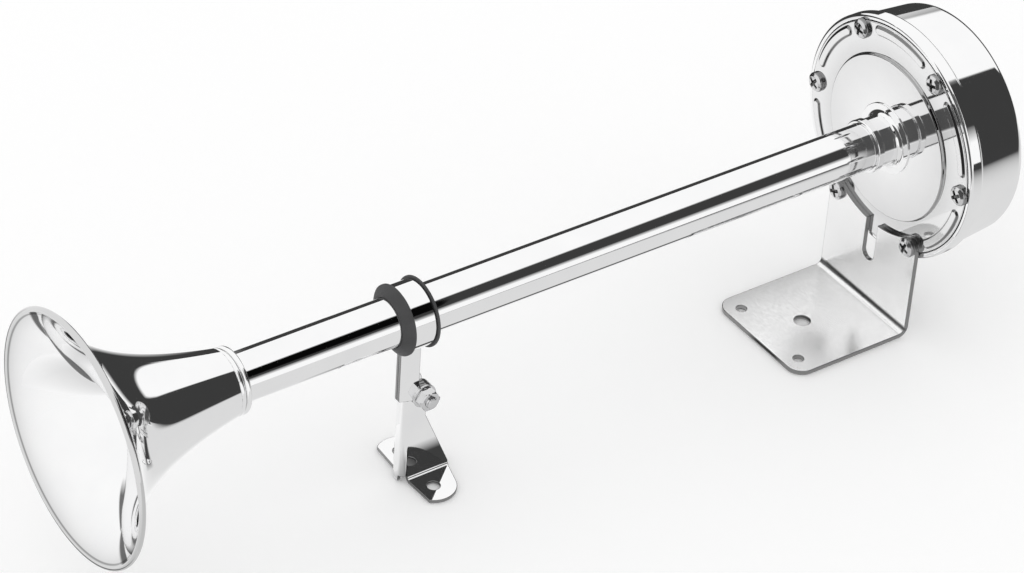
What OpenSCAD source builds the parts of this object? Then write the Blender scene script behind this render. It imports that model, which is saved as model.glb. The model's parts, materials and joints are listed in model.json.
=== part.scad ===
// Electric marine trumpet horn: a long tube with a spun bell in front, a round
// sound unit behind it, an angled rear bracket and a clamped front foot.
// The origin is midway between the two front holes of the rear bracket, on the
// deck plane. +Y runs along the horn from the bell to the sound unit, +Z is up.

/* [Trumpet] */
// Height of the horn axis above the deck
axis_h = 83; // [80:1:95]
// Distance from the base holes forward to the bell mouth
mouth_y = 327.4; // [310:1:380]
// Outside diameter of the tube
tube_d = 19.8; // [19:0.1:20.2]
// Wall of the tube, the bell and the throat piece
tube_wall = 1; // [0.8:0.1:1.2]
// Outer radius of the bell over its rolled lip
mouth_r = 50.4; // [46:0.2:54]
// Radius of the rolled lip's section
lip_r = 1.3; // [1.2:0.1:1.6]
// Length of the flare from the lip's centre to the ferrule
flare_l = 62.6; // [58:0.2:70]
// Outer radius of the flare's small end
flare_end_r = 13.7; // [13:0.1:14.6]
// Length over which the flare closes fastest
flare_scale = 17; // [13:1:22]
// Power of the flare law
flare_power = 0.55; // [0.4:0.05:0.8]
// Length of the ferrule's two beads behind the flare
ferrule_l = 4.9; // [4:0.1:7]
// Outer radius of the ferrule over its beads
ferrule_r = 13.5; // [13:0.1:14.2]
// How far the ferrule's spigot reaches into the flare
spigot_l = 3; // [2:0.5:4]

/* [Throat piece] */
// Length of the throat piece in front of the cover's raised disc
throat_l = 12.4; // [11:0.2:15]
// Outer radius of the throat's rolled bead
throat_bead_r = 11.35; // [11.2:0.05:12]
// Width of the throat's rolled bead
throat_bead_w = 3.2; // [2.8:0.1:3.6]
// Radius of the foot of the throat piece on the disc
throat_foot_r = 15.2; // [14.5:0.1:17]

/* [Rear bracket] */
// Distance from each lower case screw out to the bracket's side
ear_margin = 5; // [4.4:0.2:8]
// Sheet thickness of the bracket
bracket_t = 2; // [1.6:0.1:2.5]
// Distance from the front holes back to the upright's front face
upright_y = 48.6; // [44:0.2:56]
// Distance from the front holes forward to the front edge
base_front = 7.1; // [6:0.1:12]
// Corner radius of the base plate
base_corner_r = 7; // [4:0.5:10]
// Spacing of the two front holes
base_hole_spacing = 38.6; // [32:0.2:42]
// Diameter of the two front holes
base_hole_d = 4.4; // [4:0.1:5.5]
// Diameter of the middle hole
centre_hole_d = 6.8; // [5:0.1:8]
// Distance from the front holes back to the middle hole
centre_hole_y = 17; // [13:0.5:24]
// Inner radius of the bend
bend_r = 2.5; // [1.5:0.1:4]
// Distance from the screw circle in to the arc cut in the upright's top
arc_inset = 4; // [3.4:0.2:6]
// Corner radius of the two ears
ear_corner_r = 7; // [4:0.5:8]
// Distance from each lower case screw down to where the ear's side turns straight
ear_drop = 2.2; // [0:0.2:5]
// Width of the slot in the upright
slot_w = 7; // [5:0.5:9]
// Height of the slot's lower end above the deck
slot_h = 22; // [16:0.5:28]

/* [Sound unit case] */
// Outer radius of the rear cover just behind the rim
cup_front_r = 50.4; // [48:0.2:54]
// How far the rolled rim stands out of the rear cover
rim_roll = 1.5; // [1.2:0.1:2]
// Width of the rolled rim along the horn
rim_w = 5.8; // [5:0.1:7]
// How much narrower the rear cover is at its back edge
cup_taper = 2.05; // [1:0.05:2.6]
// Wall of the rear cover
cup_t = 1; // [0.8:0.1:1.1]
// Distance from the rear cover's outside in to the front cover's edge
cover_inset = 1.2; // [1.1:0.1:1.6]
// Sheet thickness of the front cover
cover_t = 1.2; // [1:0.1:1.4]
// Width of the front cover's flange outside the raised disc
flange_w = 13.9; // [12:0.1:16]
// Height of the raised disc over the flange
disc_rise = 1.3; // [1.1:0.1:1.8]
// Distance of the screw circle in from the front cover's edge
screw_inset = 3.2; // [3:0.1:3.4]
// Height of the pressed ribs between the screws
rib_h = 0.8; // [0.5:0.1:1.2]
// Width of the pressed ribs, which lie on the screw circle
rib_w = 4.6; // [3.6:0.1:5.2]
// Half angle of each rib, in degrees
rib_half_angle = 17; // [12:1:19]
// Radius of the rear cover's back edge
cup_edge_r = 2.5; // [2:0.1:3.5]
// Diameter of the cable gland's cable hole
cable_d = 5; // [4:0.5:5.5]
// Diameter of the gland's outer head
gland_d = 9.6; // [9:0.2:11]
// How far the gland stands out of the rear cover's back
gland_h = 6; // [4:0.2:7]
// Angle of the gland from straight up, in degrees
gland_angle = 44; // [38:1:60]

/* [Screws] */
// Thread diameter of the six case screws
screw_d = 4; // [3.6:0.1:4.2]
// Head diameter of the case screws
screw_head_d = 8.5; // [7.6:0.1:8.6]
// Head height of the case screws
screw_head_h = 2.6; // [2:0.1:3]

/* [Diaphragm and magnet] */
// Thickness of each gasket
gasket_t = 0.8; // [0.6:0.1:1]
// Width of the gaskets' sealing ring
gasket_w = 12.8; // [11:0.2:14]
// Thickness of the spring steel diaphragm
diaphragm_t = 0.4; // [0.3:0.05:0.5]
// Stroke of the diaphragm towards the magnet
stroke = 0.6; // [0.4:0.05:0.7]
// Radius of the armature disc
armature_r = 13; // [11:0.5:14]
// Thickness of the armature disc
armature_t = 6; // [5:0.2:6.4]
// Stud diameter of the armature
stud_d = 4; // [3:0.5:5]
// Thickness of the housing's sheet
housing_t = 1.5; // [1.2:0.1:1.8]
// Distance from the screw circle in to the magnet housing
housing_inset = 6; // [5.6:0.1:7]
// Depth of the magnet housing with its flange
housing_depth = 20.7; // [20:0.1:22]
// Thickness of the threaded ring behind the housing's flange
nut_ring_t = 3; // [2.5:0.1:3.5]
// Radius of the pole core
core_r = 8; // [7:0.2:8.6]
// Distance from the magnet housing's outside in to the coil bobbin's flanges
coil_room = 20; // [19.8:0.2:22]
// Wall of the bobbin and its flanges
bobbin_t = 1.2; // [1:0.1:1.4]
// Room between the magnet housing and the rear cover's back
wiring_room = 5.4; // [5.2:0.1:8]

/* [Contact breaker] */
// Distance of the breaker arm's pivot line in from the magnet housing's outside
pivot_inset = 6.5; // [6:0.1:7]
// Thickness of the breaker arm
arm_t = 0.4; // [0.3:0.05:0.5]
// Width of the breaker arm
arm_w = 8; // [7:0.5:9]
// Thickness of the fixed contact strip
strip_t = 0.6; // [0.4:0.1:0.8]
// Diameter of the tuning screw
tuning_d = 3; // [2.5:0.1:3.2]

/* [Front clamp] */
// Distance from the base holes forward to the middle of the clamp
clamp_y = 182.6; // [150:1:220]
// Length of the rubber sleeve between its flanges' outer faces
sleeve_l = 11.8; // [11:0.2:15]
// Radius of the rubber sleeve's flanges
sleeve_r = 14.35; // [14:0.05:16]
// Thickness of the sleeve's flanges
sleeve_flange_t = 1; // [0.8:0.1:1.3]
// Length of the sleeve's tapered nose
nose_l = 2.8; // [2:0.1:4]
// Radius of the sleeve under the clamp band
sleeve_groove_r = 11.9; // [11.4:0.1:12]
// Thickness of the clamp band
band_t = 1.3; // [1:0.1:1.5]
// Middle of the doubled strap, to the side of the horn axis
strap_x = 2.5; // [2:0.1:3.5]
// Height of the strap's lower edge
strap_h = 45; // [44:0.5:47]

/* [Front foot] */
// Sheet thickness of the foot
foot_t = 1.5; // [1.2:0.1:1.6]
// Outside width of the foot's channel
channel_w = 7.4; // [6.6:0.1:9]
// Height of the clamp bolt above the deck
bolt_h = 44; // [42:0.5:46]
// Distance from the clamp's middle back to the bolt
bolt_offset = 7.1; // [6.6:0.1:8]
// Diameter of the clamp bolt
bolt_d = 5; // [4:0.2:5]
// Radius of the ears round the bolt
bolt_ear_r = 5; // [4.6:0.1:5.4]
// Distance from the bolt forward to the foot's front face
foot_front = 6.5; // [6:0.1:8]
// Height of the foot's front web
web_h = 41; // [36:0.5:42]
// Distance from the bolt back to the foot's rear edge at deck level
foot_rear = 15.2; // [12:0.2:18]
// Spacing of the foot's two holes
foot_hole_spacing = 24.4; // [22:0.2:28]
// Diameter of the foot's holes
foot_hole_d = 5.3; // [4:0.1:6]
// Radius of the foot's two lobes
lobe_r = 9.7; // [8.5:0.1:11]

/* [Hidden] */
$fn = 96;
// Play of fixed pieces, of moving pieces and of bolts in their holes
FIT = 0.05;
RUN = 0.1;
HOLE = 0.15;
SIDE = 0.2;
CUT = 1;

// Levels along the horn, from the bell to the back of the case
lip_y = -mouth_y + lip_r;
ferrule_y = lip_y + flare_l;
seat_y = upright_y + bracket_t;
disc_y = seat_y - disc_rise;
cover_back_y = seat_y + cover_t;
gasket_back_y = cover_back_y + gasket_t;
diaphragm_play = 0.35;
diaphragm_y = gasket_back_y + diaphragm_play;
diaphragm_back_y = diaphragm_y + diaphragm_t;
rear_gasket_y = diaphragm_back_y + stroke + HOLE;
housing_y = rear_gasket_y + gasket_t;
nut_ring_y = housing_y + housing_t;
nut_ring_back_y = nut_ring_y + nut_ring_t;
armature_back_y = diaphragm_back_y + armature_t;
core_gap = 0.3;
core_y = armature_back_y + stroke + core_gap;
housing_back_y = housing_y + housing_depth;
housing_floor_y = housing_back_y - housing_t;
cup_floor_y = housing_back_y + wiring_room;
cup_back_y = cup_floor_y + cup_t;
rim_y = seat_y + 0.4;
rim_back_y = rim_y + rim_w;
cup_wall_y = rim_back_y + 1;
gland_y = cup_floor_y - 1;
throat_y = disc_y - throat_l;

// Radii of the turned pieces
rim_r = cup_front_r + rim_roll;
cup_back_r = cup_front_r - cup_taper;
cover_r = cup_front_r - cover_inset;
disc_r = cover_r - flange_w;
screw_circle_r = cover_r - screw_inset;
rib_in_r = screw_circle_r - rib_w / 2;
rib_out_r = screw_circle_r + rib_w / 2;
housing_r = screw_circle_r - housing_inset;
tube_r = tube_d / 2;
bore_r = tube_r - tube_wall;
cup_mouth_r = cover_r + 0.3;
stack_r = cover_r - 0.4;
gasket_in_r = stack_r - gasket_w;
nut_ring_r = cup_radius(nut_ring_back_y) - cup_t - FIT;
nut_ring_in_r = housing_r + 2.2;
bobbin_y = core_y + 0.85;
bobbin_r = housing_r - coil_room;
hub_r = core_r + RUN;
winding_r = bobbin_r - 0.5;
screw_r = screw_d / 2;
screw_end_y = nut_ring_back_y + 1.2;
gland_place_r = cup_back_r - cup_edge_r - gland_d / 2;
gland_shank_r = gland_d / 2 - 0.8;
stud_r = stud_d / 2;

// The case screws, by their angle from straight up, and the ones on the bracket
screw_angles = [for (i = [0:5]) 30 + 60 * i];
bracket_screws = [150, 210];
rib_angles = [0, 60, 120, 240, 300];

// Bracket: its width, its arc, and the height where each ear's side turns straight
low_screw = about_axis(screw_circle_r, bracket_screws[0]);
bracket_w = 2 * (low_screw[0] + ear_margin);
arc_r = screw_circle_r - arc_inset;
ear_side_h = low_screw[1] - ear_drop;

// Breaker: levels along the horn and places beside it
pivot_x = housing_r - pivot_inset;
tip_x = armature_r - 0.8;
contact_reach = 8;
contact_x = pivot_x - contact_reach;
block_half_l = 3.5;
block_x = [pivot_x - block_half_l, pivot_x + block_half_l];
block_half_w = 6;
arm_y = armature_back_y + 0.25;
arm_back_y = arm_y + arm_t;
block_y = arm_back_y + SIDE;
spacer_back_y = arm_y - SIDE;
spacer_t = 1.2;
strip_back_y = spacer_back_y - spacer_t;
strip_y = strip_back_y - strip_t;
contact_r = 1.6;
strip_half_w = 5;
contact_t = 0.3;
tab_x = pivot_x - 6.7;
tab_z = 7.5;
tab_half_w = 2.5;
breaker_screw_r = 1;
breaker_screw_l = 7;
breaker_screw_z = 2.6;
tuning_r = tuning_d / 2;

// Terminals on the back of the magnet housing
terminal_angle = -30;
terminal_inset = 12.2;
terminal_x = (housing_r - terminal_inset) * sin(terminal_angle);
terminal_z = (housing_r - terminal_inset) * cos(terminal_angle);
terminal_pitch = 16;
plate_w = 26;
plate_h = 12;
plate_t = 2;
terminal_r = 1.5;
bush_r = 3;
bush_flange_r = 4.2;
bush_flange_t = 1.2;
terminal_nut_t = 2.2;
small_nut_af = 5.5;

// Clamp and foot
sleeve_y = -clamp_y - sleeve_l / 2;
groove_w = sleeve_l - 2 * sleeve_flange_t;
band_w = groove_w - 0.6;
band_in_r = sleeve_groove_r + RUN;
band_r = band_in_r + band_t;
leaf_gap = 0.2;
strap_w = 2 * band_t + leaf_gap;
strap_left = strap_x - strap_w / 2;
strap_right = strap_x + strap_w / 2;
bolt_y = -clamp_y + bolt_offset;
bolt_r = bolt_d / 2;
washer_t = 0.8;
washer_r = bolt_r + 2.6;
nut_af = 8;
nut_h = 4;
bolt_head_r = 4.6;
bolt_head_h = 3;
bolt_tail = 1.6;
foot_right = strap_left - SIDE;
foot_left = foot_right - channel_w;
foot_x = foot_right - channel_w / 2;
web_y = bolt_y - foot_front;
foot_back_y = bolt_y + foot_rear;
foot_hole_y = bolt_y + 3;
lobe_x = foot_hole_spacing / 2 - 0.8;
shoulder_drop = 13;

// Radius of the flare's outside, d behind the lip's centre
function flare_fall(d) = pow(flare_scale / (flare_scale + d), flare_power);
function flare_r(d) = flare_end_r + (mouth_r - lip_r - flare_end_r)
    * (flare_fall(d) - flare_fall(flare_l)) / (1 - flare_fall(flare_l));
function flare_slope(d) = (flare_r(d + 0.01) - flare_r(d - 0.01)) / 0.02;
// Point of the flare's inside, one wall in along the outside's normal
function flare_in(d) = let (s = flare_slope(d), n = sqrt(1 + s * s))
    [flare_r(d) - tube_wall / n, d + tube_wall * s / n];

// Outer radius of the rear cover's tapered wall at a level
function cup_radius(y) = cup_front_r
    + (cup_back_r - cup_front_r) * (y - cup_wall_y) / (cup_back_y - cup_wall_y);

// Place on a circle about the horn axis, by its angle from straight up
function about_axis(r, a) = [r * sin(a), axis_h + r * cos(a)];

// Points of an arc of radius r about c from angle a to b
function arc(c, r, a, b, n = 8) = [for (i = [0:n]) let (t = a + (b - a) * i / n)
    c + r * [cos(t), sin(t)]];

// A profile of radius and level, turned about the horn axis
module turned() translate([0, 0, axis_h]) rotate([-90, 0, 0]) rotate_extrude() children();

// A round bar along Y from level y0 to y1 at place p = [x, z]
module bar(p, r, y0, y1) translate([p[0], y0, p[1]]) rotate([-90, 0, 0])
    cylinder(h = y1 - y0, r = r);

// A ring about the horn axis
module ring(r, r_in, y0, y1) difference() {
    bar([0, axis_h], r, y0, y1);
    bar([0, axis_h], r_in, y0 - CUT, y1 + CUT);
}

// Round bars on the screw circle
module screw_bars(r, y0, y1, angles = screw_angles)
    for (a = angles) bar(about_axis(screw_circle_r, a), r, y0, y1);

// A box between two corners
module block(low, high) translate(low) cube(high - low);

// A hexagonal nut along Y at place p = [x, z]
module hex_nut(p, across, r_in, y0, y1) difference() {
    translate([p[0], y0, p[1]]) rotate([-90, 0, 0])
        cylinder(h = y1 - y0, r = across / sqrt(3), $fn = 6);
    bar(p, r_in, y0 - CUT, y1 + CUT);
}

module trumpet_bell() color("gainsboro") {
    steps = 26;
    // Stations crowd towards the mouth, where the curve is tightest
    stations = [for (i = [0:steps]) flare_l * pow(i / steps, 1.6)];
    outside = [for (d = stations) [flare_r(d), d]];
    inside = [for (i = [steps - 1:-1:0]) flare_in(stations[i])];
    translate([0, lip_y, 0]) {
        turned() polygon(concat(outside, [[flare_end_r - tube_wall, flare_l]], inside));
        turned() translate([mouth_r - lip_r, 0]) circle(r = lip_r);
    }
}

module bell_ferrule() color("silver") {
    bead_r = ferrule_l / 4;
    difference() {
        union() {
            bar([0, axis_h], ferrule_r - bead_r, ferrule_y, ferrule_y + ferrule_l);
            bar([0, axis_h], flare_end_r - tube_wall - FIT, ferrule_y - spigot_l, ferrule_y + bead_r);
            for (y = [ferrule_y + bead_r, ferrule_y + 3 * bead_r])
                turned() translate([ferrule_r - bead_r, y]) circle(r = bead_r);
        }
        bar([0, axis_h], tube_r + FIT, ferrule_y - spigot_l - CUT,
            ferrule_y + ferrule_l + CUT);
    }
}

module trumpet_tube() color("gainsboro")
    ring(tube_r, bore_r, ferrule_y - spigot_l, disc_y);

module throat_piece() color("silver") {
    neck_r = tube_r + 0.7;
    bead_back_y = throat_y + throat_bead_w;
    rise = throat_foot_r - neck_r;
    // Hollow curve from the neck to the foot on the disc
    flare = arc([throat_foot_r, disc_y - 0.6 - rise], rise, 180, 90);
    difference() {
        union() {
            turned() polygon(concat([[bore_r, throat_y + 0.5], [neck_r, throat_y + 0.5]], flare,
                [[throat_foot_r, disc_y], [bore_r, disc_y]]));
            turned() polygon([[neck_r - 0.4, throat_y], [throat_bead_r - 0.5, throat_y],
                [throat_bead_r, throat_y + 0.8], [throat_bead_r, bead_back_y - 0.8],
                [throat_bead_r - 0.5, bead_back_y], [neck_r - 0.4, bead_back_y]]);
        }
        bar([0, axis_h], tube_r + FIT, throat_y - CUT, disc_y + CUT);
    }
}

module front_cover() color("whitesmoke") {
    soft = 0.5;
    difference() {
        union() {
            turned() polygon([[bore_r, disc_y], [disc_r - soft, disc_y], [disc_r, disc_y + soft],
                [disc_r + soft, seat_y], [cover_r, seat_y], [cover_r, cover_back_y],
                [disc_r - cover_t, cover_back_y], [disc_r - cover_t, disc_y + cover_t],
                [bore_r, disc_y + cover_t]]);
            for (a = rib_angles) front_rib(a);
        }
        screw_bars(screw_r + SIDE, seat_y - CUT, cover_back_y + CUT);
    }
}

// One pressed rib on the cover's flange, centred on angle a
module front_rib(a) translate([0, 0, axis_h]) rotate([-90, 0, 0])
    rotate([0, 0, a - 90 - rib_half_angle]) rotate_extrude(angle = 2 * rib_half_angle)
        polygon([[rib_in_r, seat_y + 0.2], [rib_in_r + 0.6, seat_y - rib_h],
            [rib_out_r - 0.6, seat_y - rib_h], [rib_out_r, seat_y + 0.2]]);

// A sealing gasket with its screw holes, from level y
module gasket(y) difference() {
    ring(stack_r, gasket_in_r, y, y + gasket_t);
    screw_bars(screw_r + SIDE, y - CUT, y + gasket_t + CUT);
}

module front_gasket() color("dimgray") gasket(cover_back_y);

module rear_gasket() color("dimgray") gasket(rear_gasket_y);

module diaphragm() color("lightsteelblue") difference() {
    ring(stack_r, stud_r + FIT, diaphragm_y, diaphragm_back_y);
    screw_bars(screw_r + 0.6, diaphragm_y - CUT, diaphragm_back_y + CUT);
}

module diaphragm_washer() color("silver")
    ring(bore_r - 1.5, stud_r + FIT, diaphragm_y - 0.6, diaphragm_y);

module diaphragm_nut() color("silver")
    hex_nut([0, axis_h], 2 * stud_r + 3, stud_r + FIT, diaphragm_y - 2.4, diaphragm_y - 0.6);

module armature() color("gray") {
    bar([0, axis_h], armature_r, diaphragm_back_y, armature_back_y);
    bar([0, axis_h], stud_r, diaphragm_y - 2.8, diaphragm_back_y + CUT);
}

module magnet_housing() color("darkgray") difference() {
    union() {
        bar([0, axis_h], stack_r, housing_y, nut_ring_y);
        bar([0, axis_h], housing_r, housing_y, housing_back_y);
    }
    bar([0, axis_h], housing_r - housing_t, housing_y - CUT, housing_floor_y);
    bar([0, axis_h], core_r / 2 + FIT, housing_floor_y - CUT, housing_back_y + CUT);
    bar([tab_x, axis_h + tab_z], tuning_r + FIT, housing_floor_y - CUT, housing_back_y + CUT);
    for (x = terminal_places()) bar([x, axis_h + terminal_z], bush_r + FIT,
        housing_floor_y - CUT, housing_back_y + CUT);
    screw_bars(screw_r + SIDE, housing_y - CUT, nut_ring_y + CUT);
}

module nut_ring() color("darkgray") difference() {
    ring(nut_ring_r, nut_ring_in_r, nut_ring_y, nut_ring_back_y);
    screw_bars(screw_r + FIT, nut_ring_y - CUT, nut_ring_back_y + CUT);
}

// The rear cover's outer shape, closed in front
module cup_outside() turned() polygon(concat(
    [[0, rim_y], [rim_r - 1, rim_y], [rim_r, rim_y + 1], [rim_r, rim_back_y - 1],
        [rim_r - 0.7, rim_back_y], [cup_front_r, cup_wall_y]],
    arc([cup_back_r - cup_edge_r, cup_back_y - cup_edge_r], cup_edge_r, 0, 90),
    [[0, cup_back_y]]));

module rear_cover() color("gainsboro") {
    inner_edge = cup_edge_r - cup_t;
    difference() {
        cup_outside();
        turned() polygon(concat(
            [[0, rim_y - CUT], [cup_mouth_r, rim_y - CUT], [cup_mouth_r, nut_ring_y - 0.4],
                [cup_radius(nut_ring_y) - cup_t, nut_ring_y]],
            arc([cup_back_r - cup_edge_r, cup_floor_y - inner_edge], inner_edge, 0, 90),
            [[0, cup_floor_y]]));
        gland_bar(gland_shank_r, cup_floor_y - CUT, cup_back_y + CUT);
    }
}

// A bar along the gland's own axis, between two levels along the horn
module gland_bar(r, y0, y1) bar(about_axis(gland_place_r, -gland_angle), r, y0, y1);

module cable_gland() color("#2b2b2b") difference() {
    union() {
        gland_bar(gland_d / 2, cup_back_y, cup_back_y + gland_h);
        gland_bar(gland_shank_r, gland_y, cup_back_y + gland_h / 2);
        gland_bar(gland_d / 2, gland_y, cup_floor_y);
    }
    gland_bar(cable_d / 2, gland_y - CUT, cup_back_y + gland_h + CUT);
}

module pole_core() color("gray") {
    bar([0, axis_h], core_r, core_y, housing_floor_y);
    bar([0, axis_h], core_r / 2, housing_floor_y - CUT, housing_back_y + 0.8);
}

module coil_bobbin() color("#3a3a3a") {
    ring(hub_r + bobbin_t, hub_r, bobbin_y, housing_floor_y);
    ring(bobbin_r, hub_r, bobbin_y, bobbin_y + bobbin_t);
    ring(bobbin_r, hub_r, housing_floor_y - bobbin_t, housing_floor_y);
}

module coil_winding() color("peru")
    ring(winding_r, hub_r + bobbin_t + FIT, bobbin_y + bobbin_t + FIT,
        housing_floor_y - bobbin_t - FIT);

module contact_block() color("saddlebrown") difference() {
    block([block_x[0], block_y, axis_h - block_half_w],
        [block_x[1], housing_floor_y, axis_h + block_half_w]);
    breaker_bars(breaker_screw_r + FIT, block_y - CUT,
            block_y + breaker_screw_l + 1);
}

// Round bars at the two screws that clamp the breaker's stack
module breaker_bars(r, y0, y1)
    for (z = [-breaker_screw_z, breaker_screw_z]) bar([pivot_x, axis_h + z], r, y0, y1);

module breaker_arm() color("goldenrod") difference() {
    union() {
        block([tip_x - contact_r, arm_y, axis_h - arm_w / 2],
            [block_x[1], arm_back_y, axis_h + arm_w / 2]);
        bar([tip_x, axis_h], contact_r, arm_y - SIDE, arm_y + FIT);
        bar([contact_x, axis_h], contact_r, arm_y - contact_t, arm_y + FIT);
    }
    breaker_bars(breaker_screw_r + 0.25, arm_y - CUT, arm_back_y + CUT);
}

module contact_spacer() color("saddlebrown") difference() {
    block([block_x[0], strip_back_y, axis_h - block_half_w],
        [block_x[1], spacer_back_y, axis_h + block_half_w]);
    breaker_bars(breaker_screw_r + FIT, strip_back_y - CUT, spacer_back_y + CUT);
}

module fixed_contact() color("goldenrod") difference() {
    union() {
        block([contact_x - block_half_l, strip_y, axis_h - strip_half_w],
            [block_x[1], strip_back_y, axis_h + strip_half_w]);
        block([tab_x - tab_half_w, strip_y, axis_h],
            [tab_x + tab_half_w, strip_back_y, axis_h + tab_z + tab_half_w]);
        bar([contact_x, axis_h], contact_r, strip_y, arm_y - contact_t - FIT);
    }
    breaker_bars(breaker_screw_r + FIT, strip_y - CUT, strip_back_y + CUT);
}

module breaker_screws() color("silver") {
    breaker_bars(breaker_screw_r, strip_y - FIT, block_y + breaker_screw_l);
    breaker_bars(breaker_screw_r + 0.9, strip_y - 1.4, strip_y);
}

module tuning_screw() color("silver") difference() {
    union() {
        bar([tab_x, axis_h + tab_z], tuning_r, strip_back_y + FIT, cup_floor_y - 1.5);
        bar([tab_x, axis_h + tab_z], tuning_r + 1.1, cup_floor_y - 2.4, cup_floor_y - 0.8);
    }
    block([tab_x - 0.4, cup_floor_y - 1.6, axis_h + tab_z - 5],
        [tab_x + 0.4, cup_floor_y, axis_h + tab_z + 5]);
}

module tuning_locknut() color("silver")
    hex_nut([tab_x, axis_h + tab_z], small_nut_af, tuning_r + FIT, housing_back_y, housing_back_y + 1.8);

function terminal_places() = [terminal_x - terminal_pitch / 2, terminal_x + terminal_pitch / 2];

module terminal_plate() color("saddlebrown") difference() {
    block([terminal_x - plate_w / 2, housing_back_y, axis_h + terminal_z - plate_h / 2],
        [terminal_x + plate_w / 2, housing_back_y + plate_t, axis_h + terminal_z + plate_h / 2]);
    terminal_bars(terminal_r + FIT, housing_back_y - CUT, housing_back_y + plate_t + CUT);
}

// Round bars at the two terminals
module terminal_bars(r, y0, y1)
    for (x = terminal_places()) bar([x, axis_h + terminal_z], r, y0, y1);

module terminal_bushes() color("#3a3a3a") difference() {
    union() {
        terminal_bars(bush_r, housing_floor_y - bush_flange_t, housing_back_y);
        terminal_bars(bush_flange_r, housing_floor_y - bush_flange_t, housing_floor_y);
    }
    terminal_bars(terminal_r + FIT, housing_floor_y - CUT - bush_flange_t, housing_back_y + CUT);
}

module terminal_screws() color("goldenrod") {
    head_y = housing_back_y + plate_t;
    terminal_bars(terminal_r, terminal_nut_y() - 0.8, head_y + FIT);
    terminal_bars(terminal_r + 1.3, head_y, head_y + 2.2);
}

function terminal_nut_y() = housing_floor_y - bush_flange_t - terminal_nut_t;

module terminal_nuts() color("goldenrod")
    for (x = terminal_places()) hex_nut([x, axis_h + terminal_z], small_nut_af, terminal_r + FIT,
        terminal_nut_y(), terminal_nut_y() + terminal_nut_t);

module case_screws() color("silver") for (a = screw_angles) {
    lift = len(search(a, bracket_screws)) > 0 ? bracket_t : 0;
    case_screw(about_axis(screw_circle_r, a), seat_y - lift);
}

// One pan head screw with a cross recess, its head seated at level y
module case_screw(p, y) {
    head_r = screw_head_d / 2;
    slot = 0.45;
    bar(p, screw_r, y - FIT, screw_end_y);
    difference() {
        translate([p[0], 0, p[1]]) rotate([-90, 0, 0]) rotate_extrude() polygon(concat(
            [[0, y], [head_r, y]],
            arc([head_r - 1.2, y - screw_head_h + 1.2], 1.2, 0, -90), [[0, y - screw_head_h]]));
        block([p[0] - 2.4, y - screw_head_h - CUT, p[1] - slot],
            [p[0] + 2.4, y - screw_head_h + 1.3, p[1] + slot]);
        block([p[0] - slot, y - screw_head_h - CUT, p[1] - 2.4],
            [p[0] + slot, y - screw_head_h + 1.3, p[1] + 2.4]);
    }
}

module rear_bracket() color("whitesmoke") difference() {
    linear_angle();
    // The arc below the horn axis, and the slot that opens into it
    bar([0, axis_h], arc_r, upright_y - CUT, seat_y + CUT);
    block([-slot_w / 2, upright_y - CUT, slot_h + slot_w / 2],
        [slot_w / 2, seat_y + CUT, axis_h]);
    bar([0, slot_h + slot_w / 2], slot_w / 2, upright_y - CUT, seat_y + CUT);
    for (side = [-1, 1]) {
        ear_corner(side);
        base_corner(side);
        translate([side * base_hole_spacing / 2, 0, -CUT])
            cylinder(h = bracket_t + 2 * CUT, d = base_hole_d);
    }
    translate([0, centre_hole_y, -CUT]) cylinder(h = bracket_t + 2 * CUT, d = centre_hole_d);
    screw_bars(screw_r + SIDE, upright_y - CUT, seat_y + CUT, bracket_screws);
}

// The bent sheet before it is trimmed and drilled
module linear_angle() {
    bend = [upright_y - bend_r, bracket_t + bend_r];
    top_h = ear_side_h + 2 * ear_corner_r;
    outline = concat([[-base_front, 0]],
        arc(bend, bend_r + bracket_t, -90, 0),
        [[seat_y, top_h], [upright_y, top_h]],
        arc(bend, bend_r, 0, -90),
        [[-base_front, bracket_t]]);
    translate([-bracket_w / 2, 0, 0]) rotate([90, 0, 90])
        linear_extrude(height = bracket_w) polygon(outline);
}

// What is trimmed off outside one ear
module ear_corner(side) {
    c = [side * (bracket_w / 2 - ear_corner_r), ear_side_h];
    far = side * (bracket_w / 2 + CUT);
    difference() {
        block([min(c[0], far), upright_y - CUT, c[1]], [max(c[0], far), seat_y + CUT, axis_h]);
        bar(c, ear_corner_r, upright_y - 2 * CUT, seat_y + 2 * CUT);
    }
}

// What is trimmed off one front corner of the base
module base_corner(side) {
    c = [side * (bracket_w / 2 - base_corner_r), base_corner_r - base_front];
    far = side * (bracket_w / 2 + CUT);
    difference() {
        block([min(c[0], far), -base_front - CUT, -CUT], [max(c[0], far), c[1], bracket_t + CUT]);
        translate([c[0], c[1], -2 * CUT])
            cylinder(h = bracket_t + 4 * CUT, r = base_corner_r);
    }
}

module rubber_sleeve() color("#4a4a4a") {
    back_y = sleeve_y + sleeve_l;
    nose_r = tube_r + 1;
    turned() polygon([[tube_r + RUN, sleeve_y - nose_l], [nose_r, sleeve_y - nose_l],
        [sleeve_r, sleeve_y], [sleeve_r, sleeve_y + sleeve_flange_t],
        [sleeve_groove_r, sleeve_y + sleeve_flange_t], [sleeve_groove_r, back_y - sleeve_flange_t],
        [sleeve_r, back_y - sleeve_flange_t], [sleeve_r, back_y], [tube_r + RUN, back_y]]);
}

// A sheet in the YZ plane from x to x + t, drawn by its children
module side_sheet(x, t) translate([x, 0, 0]) rotate([90, 0, 90])
    linear_extrude(height = t) children();

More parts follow.
